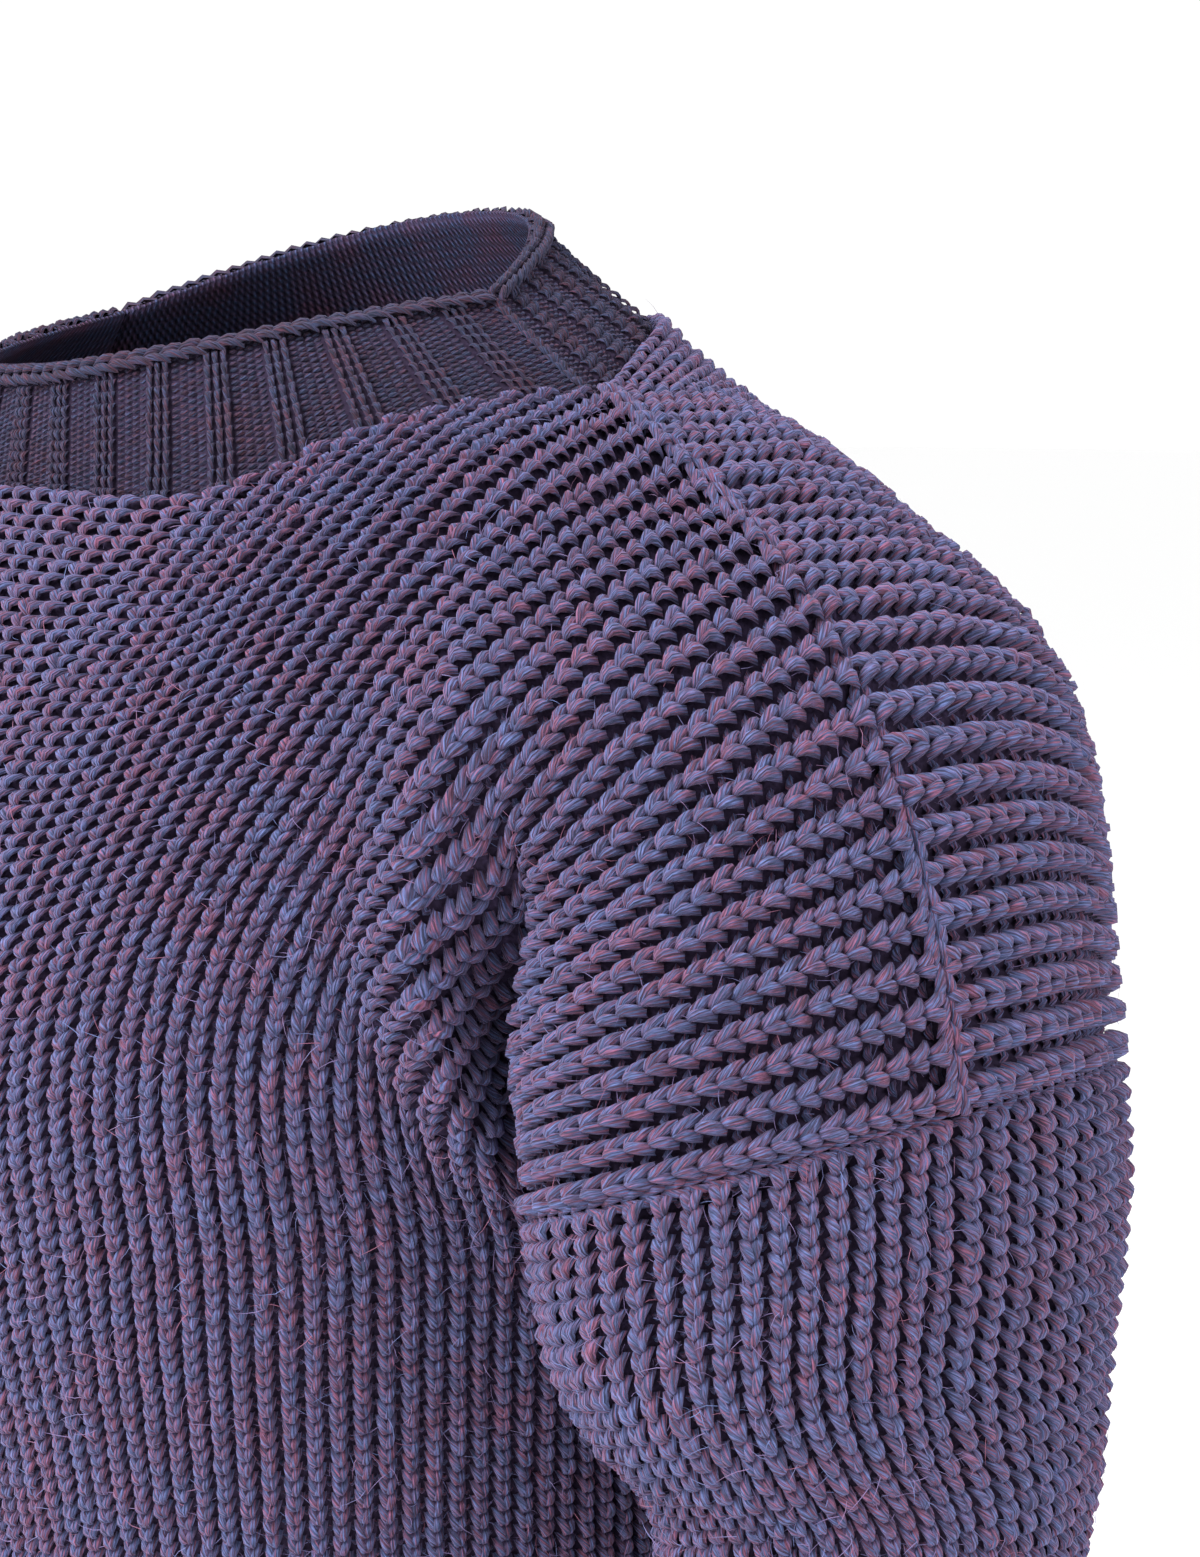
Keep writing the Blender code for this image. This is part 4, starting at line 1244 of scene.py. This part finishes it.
def rib_ground(name, cloth, half, levels, closed):
    """The ground under the ribs of a panel or a sleeve."""
    columns = np.linspace(-half, half, 4 * half + 1)
    rows = np.linspace(0, levels, levels // 2 + 1)
    heights = np.tile(GROUND_LOW + GROUND_RIB * (np.arange(len(columns)) % 2), (len(rows), 1))
    return ground_piece(name, cloth, columns, rows, heights, closed, (ground_finish(), inside_finish()))


def lay_edge(strands, cloth, end):
    """Lays the cast-on or bound-off edge along the first (0) or last (-1) row of a cloth."""
    over, *size = HEM_CHAIN
    line = cloth.points[end] + cloth.normals[end] * over
    inner = cloth.points[end + 2 if end == 0 else end - 2]
    lay_chain(strands, line, inner - cloth.points[end], cloth.normals[end], *size)


def knit_panel(name, node, face):
    """One panel: its ground, its ribs of knit stitches, the loops in its valleys and its cast-on edge."""
    cloth = panel_cloth(face)
    strands = Strands(SEEDS[node])
    keys, heights = np.array(UPPER_HEIGHTS).T

    def rise(rib, share):
        upper = np.interp(rib, keys, heights)
        return LOWER_HEIGHT + (upper - LOWER_HEIGHT) * smoothstep(*HEIGHT_CHANGES, share)

    lay_ribs(strands, cloth, PANEL_RIBS_HALF, rise, 1)
    lay_edge(strands, cloth, 0)
    ground = rib_ground(name, cloth, PANEL_RIBS_HALF, LOWER_LEVELS + UPPER_LEVELS, False)
    finish_sheet(cloth, node, strands, (2 * PANEL_RIBS_HALF * RIB_WIDTH, cloth.length()))


def knit_sleeve(name, node, side):
    """One sleeve: its ground, its ribs of knit stitches, the loops in its valleys and its cuff edge."""
    cloth = sleeve_cloth(side)
    strands = Strands(SEEDS[node])

    def rise(_, share):
        return np.full(len(share), SLEEVE_HEIGHT)

    lay_ribs(strands, cloth, SLEEVE_RIBS_HALF, rise, -1)
    lay_edge(strands, cloth, -1)
    ground = rib_ground(name, cloth, SLEEVE_RIBS_HALF, SLEEVE_LEVELS, True)
    width = float(np.linalg.norm(np.diff(cloth.points, axis=1), axis=-1).sum(axis=1).max())
    finish_sheet(cloth, node, strands, (width, cloth.length()))


def knit_band(name, node, face):
    """One half of the neckband: groups of fine knit columns, purl between, and a bound-off chain."""
    cloth = band_cloth(face)
    strands = Strands(SEEDS[node])
    columns = np.arange(BAND_COLUMNS) + 0.5
    knit = np.arange(BAND_COLUMNS) % BAND_REPEAT < BAND_KNIT
    places = even_places(columns[knit], np.arange(BAND_STITCHES) + 0.5)
    strands.lay_all(cloth, places, FINE_LEG, (1, -1), 1, BAND_SIZE)
    places = even_places(columns[~knit], np.arange(2 * BAND_STITCHES) / 2 + 0.25)
    places[1] += PURL_STAGGER * np.sin(places[0] * math.pi)
    strands.lay_all(cloth, places, FINE_PURL, (1,), 1, BAND_SIZE)
    out, up = cloth.normals[-1], unit(cloth.points[-1] - cloth.points[-3])
    over, *size = BOUND_OFF_CHAIN
    line = cloth.points[-1] + out * over - up * BOUND_OFF_DROP
    lay_chain(strands, line, up - out * BOUND_OFF_LEAN, out + up * BOUND_OFF_LEAN, *size)
    grid = np.linspace(0, BAND_COLUMNS, BAND_COLUMNS + 1)
    levels = np.linspace(0, BAND_STITCHES, BAND_GROUND_LEVELS)
    raised = BAND_GROUND_LOW + BAND_GROUND_RIB * (np.floor(grid) % BAND_REPEAT < BAND_KNIT)
    # The band's valleys take less of the violet and more of the crevice colour, as painted shade.
    finishes = (ground_finish("shaded_band_valleys", BAND_VALLEYS), inside_finish())
    ground = ground_piece(name, cloth, grid, levels, np.tile(raised, (len(levels), 1)), False, finishes)
    top = lengths(cloth.points[-1])[-1]
    base = lengths(cloth.points[0])[-1]
    height = float(np.linalg.norm(cloth.points[-1] - cloth.points[0], axis=1).mean())
    finish_sheet(cloth, node, strands, (max(top, base), height))


def seam_chains():
    """The chains along the shoulder seams and the armholes, and those down the neckband's corners."""
    shoulder = seam_line(np.linspace(0, 1, SHOULDER_SAMPLES))
    out = outward(shoulder)
    seams = [(shoulder, np.cross(out, np.gradient(shoulder, axis=0)), out, SHOULDER_CHAIN)]
    for face in (-1, 1):
        ring = armhole_edge(face, np.linspace(UNDERARM_ROW, 1, ARMHOLE_SAMPLES))
        out = outward(ring)
        seams.append((ring, np.cross(out, np.gradient(ring, axis=0)), out, ARMHOLE_CHAIN))
    rows = np.linspace(FIRST_BAND_ROW, 1, CORNER_SAMPLES)
    (points, before), (_, behind) = (band_points(face, np.array([1.0]), rows) for face in (-1, 1))
    out = before[:, 0] + behind[:, 0]
    corner = (points[:, 0], np.cross(out, np.gradient(points[:, 0], axis=0)), out, CORNER_CHAIN)
    return seams, [corner]


def knit_seams():
    """The raised chains along the seams, on both sides, each in the yarn of its piece."""
    seams, corners = seam_chains()
    # The neckband's corner chains wear its darker copy of the wool, as painted shade.
    shaded_band_wool = wool_finish("shaded_band_wool", BAND_SHADE)
    for name, chains, wool, slot in (
        ("seam_stitches", seams, wool_finish(), "rib_knit"),
        ("corner_stitches", corners, shaded_band_wool, "band_knit"),
    ):
        strands = Strands(SEEDS[name])
        for line, across, out, (over, *size) in chains:
            for side in (1.0, -1.0):
                mirror = np.array((side, 1.0, 1.0))
                lay_chain(strands, (line + out * over) * mirror, across * mirror, out * mirror, *size)
        for piece in strands.pieces(name, wool):
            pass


def stray_fibres():
    """Fine loose fibres over panels and sleeves."""
    random = np.random.default_rng(SEEDS["loose_fibres"])
    total = bpy.context.scene.sweater_sizes.loose_fibres
    roots, outs = [], []
    levels = LOWER_LEVELS + UPPER_LEVELS
    cloths = (
        (panel_cloth(-1), PANEL_RIBS_HALF, levels),
        (panel_cloth(1), PANEL_RIBS_HALF, levels),
        (sleeve_cloth(1), SLEEVE_RIBS_HALF, SLEEVE_LEVELS),
        (sleeve_cloth(-1), SLEEVE_RIBS_HALF, SLEEVE_LEVELS),
    )
    for (cloth, half, rows), share in zip(cloths, FIBRE_SHARES):
        count = int(total * share)
        rib = random.uniform(-half + 0.5, half - 0.5, count)
        points, normals = cloth.at(rib, random.uniform(0.5, rows - 0.5, count))
        ridge = np.abs(rib - np.floor(rib) - 0.5)
        kept = in_close_view(points, normals) | (random.random(count) < FAR_FIBRES)
        roots.append((points + normals * (FIBRE_ROOTS[0] - FIBRE_ROOTS[1] * ridge)[:, None])[kept])
        outs.append(normals[kept])
    roots, outs = np.concatenate(roots), np.concatenate(outs)
    count = len(roots)
    way = random.normal(0, 1, (count, 3))
    way = unit(way - outs * (way * outs).sum(-1, keepdims=True))
    turn = np.cross(outs, way) * random.normal(0, FIBRE_CURL, (count, 1))
    length = random.uniform(*FIBRE_LENGTHS, (count, 1))
    rise = random.uniform(*FIBRE_RISES, (count, 1))
    points = []
    for t in FIBRE_POINTS:
        lift = rise * (t - FIBRE_DROOP * t * t) * length
        points.append(roots + way * length * t + turn * length * t * t + outs * lift)
    line = np.stack(points, 1)
    width = np.array(FIBRE_WIDTHS)[None, :, None]
    sideways = np.cross(outs, way)[:, None] + outs[:, None] * FIBRE_TILT
    ribbon = np.stack([line - sideways * width, line + sideways * width], 2)
    yarn = np.zeros(ribbon.shape)
    yarn[..., 2] = random.random((count, 1, 1))
    piece = join_strands("loose_fibres", [(ribbon, yarn, False)], hair_finish())


def aimed(name, data, place):
    """A lamp or camera at a place, turned to the camera's target."""
    made = bpy.data.objects.new(name, data)
    made.location = place
    made.rotation_euler = (Vector(CAMERA_TARGET) - Vector(place)).to_track_quat("-Z", "Y").to_euler()
    bpy.context.scene.collection.objects.link(made)
    return made


class SWEATER_OT_panels(bpy.types.Operator):
    """Knit the front and back panels."""

    bl_idname = "sweater.panels"
    bl_label = "Knit the panels"

    def execute(self, context):
        knit_panel("front_knit", "front", -1)
        knit_panel("back_knit", "back", 1)
        return {"FINISHED"}


class SWEATER_OT_sleeves(bpy.types.Operator):
    """Knit both sleeves."""

    bl_idname = "sweater.sleeves"
    bl_label = "Knit the sleeves"

    def execute(self, context):
        knit_sleeve("left_sleeve_knit", "sleeve_left", 1)
        knit_sleeve("right_sleeve_knit", "sleeve_right", -1)
        return {"FINISHED"}


class SWEATER_OT_neckband(bpy.types.Operator):
    """Knit both halves of the neckband."""

    bl_idname = "sweater.neckband"
    bl_label = "Knit the neckband"

    def execute(self, context):
        knit_band("front_band_knit", "neckband_front", -1)
        knit_band("back_band_knit", "neckband_back", 1)
        return {"FINISHED"}


class SWEATER_OT_seams(bpy.types.Operator):
    """Lay the raised chains of the seams and the neckband's corners."""

    bl_idname = "sweater.seams"
    bl_label = "Lay the seams"

    def execute(self, context):
        knit_seams()
        return {"FINISHED"}


class SWEATER_OT_fibres(bpy.types.Operator):
    """Add the loose fibres."""

    bl_idname = "sweater.fibres"
    bl_label = "Add loose fibres"

    def execute(self, context):
        stray_fibres()
        return {"FINISHED"}


class SWEATER_OT_stage(bpy.types.Operator):
    """Set up the floor, the soft light and the camera."""

    bl_idname = "sweater.stage"
    bl_label = "Set the stage"

    def execute(self, context):
        settings = context.scene.sweater_stage
        scene = context.scene
        scene.view_settings.view_transform = "Standard"
        floor_mesh = bpy.data.meshes.new("floor")
        ways = ((-1, -1), (1, -1), (1, 1), (-1, 1))
        corners = [(x * FLOOR_REACH, y * FLOOR_REACH, HEM_Z - FLOOR_DROP) for x, y in ways]
        floor_mesh.from_pydata(corners, [], [(0, 1, 2, 3)])
        floor = bpy.data.objects.new("floor", floor_mesh)
        scene.collection.objects.link(floor)
        paint = Finish("pale_floor", 0.9)
        paint.shader.inputs["Base Color"].default_value = (*settings.floor, 1.0)
        floor_mesh.materials.append(paint.material)
        world = bpy.data.worlds.new("soft_room")
        world.use_nodes = True
        world.node_tree.nodes["Background"].inputs["Color"].default_value = (1.0, 1.0, 1.0, 1.0)
        world.node_tree.nodes["Background"].inputs["Strength"].default_value = settings.sky
        scene.world = world
        eye, right, up, _ = camera_axes()
        for name, beside, above, size, share in LAMPS:
            data = bpy.data.lights.new(name, "AREA")
            data.size, data.energy = size, settings.light * share
            aimed(name, data, eye + right * beside + up * above)
        data = bpy.data.cameras.new("camera")
        data.sensor_fit = "HORIZONTAL"
        data.lens = FOCAL_PIXELS / PICTURE_WIDTH * data.sensor_width
        scene.camera = aimed("camera", data, eye)
        return {"FINISHED"}


OPERATORS = (
    SWEATER_OT_panels,
    SWEATER_OT_sleeves,
    SWEATER_OT_neckband,
    SWEATER_OT_seams,
    SWEATER_OT_fibres,
    SWEATER_OT_stage,
)


class SWEATER_PT_panel(bpy.types.Panel):
    """Lists the sweater's steps in the sidebar."""

    bl_idname = "SWEATER_PT_panel"
    bl_label = "Fisherman Sweater"
    bl_space_type = "VIEW_3D"
    bl_region_type = "UI"
    bl_category = "Sweater"

    def draw(self, context):
        for name in GROUPS:
            group = getattr(context.scene, name)
            for key in group.__annotations__:
                self.layout.prop(group, key)
        for operator in OPERATORS:
            self.layout.operator(operator.bl_idname)


GROUPS = {"sweater_sizes": SweaterSizes, "sweater_colours": SweaterColours, "sweater_stage": SweaterStage}


def register():
    """Registers the settings, the steps and the sidebar panel."""
    for cls in (*GROUPS.values(), *OPERATORS, SWEATER_PT_panel):
        bpy.utils.register_class(cls)
    for name, group in GROUPS.items():
        setattr(bpy.types.Scene, name, bpy.props.PointerProperty(type=group))


def unregister():
    """Takes everything out again."""
    for name in GROUPS:
        delattr(bpy.types.Scene, name)
    for cls in reversed((*GROUPS.values(), *OPERATORS, SWEATER_PT_panel)):
        bpy.utils.unregister_class(cls)


def main():
    """Makes the sweater and its stage."""
    register()
    bpy.ops.sweater.panels()
    bpy.ops.sweater.sleeves()
    bpy.ops.sweater.neckband()
    bpy.ops.sweater.seams()
    bpy.ops.sweater.fibres()
    bpy.ops.sweater.stage()


if __name__ == "__main__":
    main()
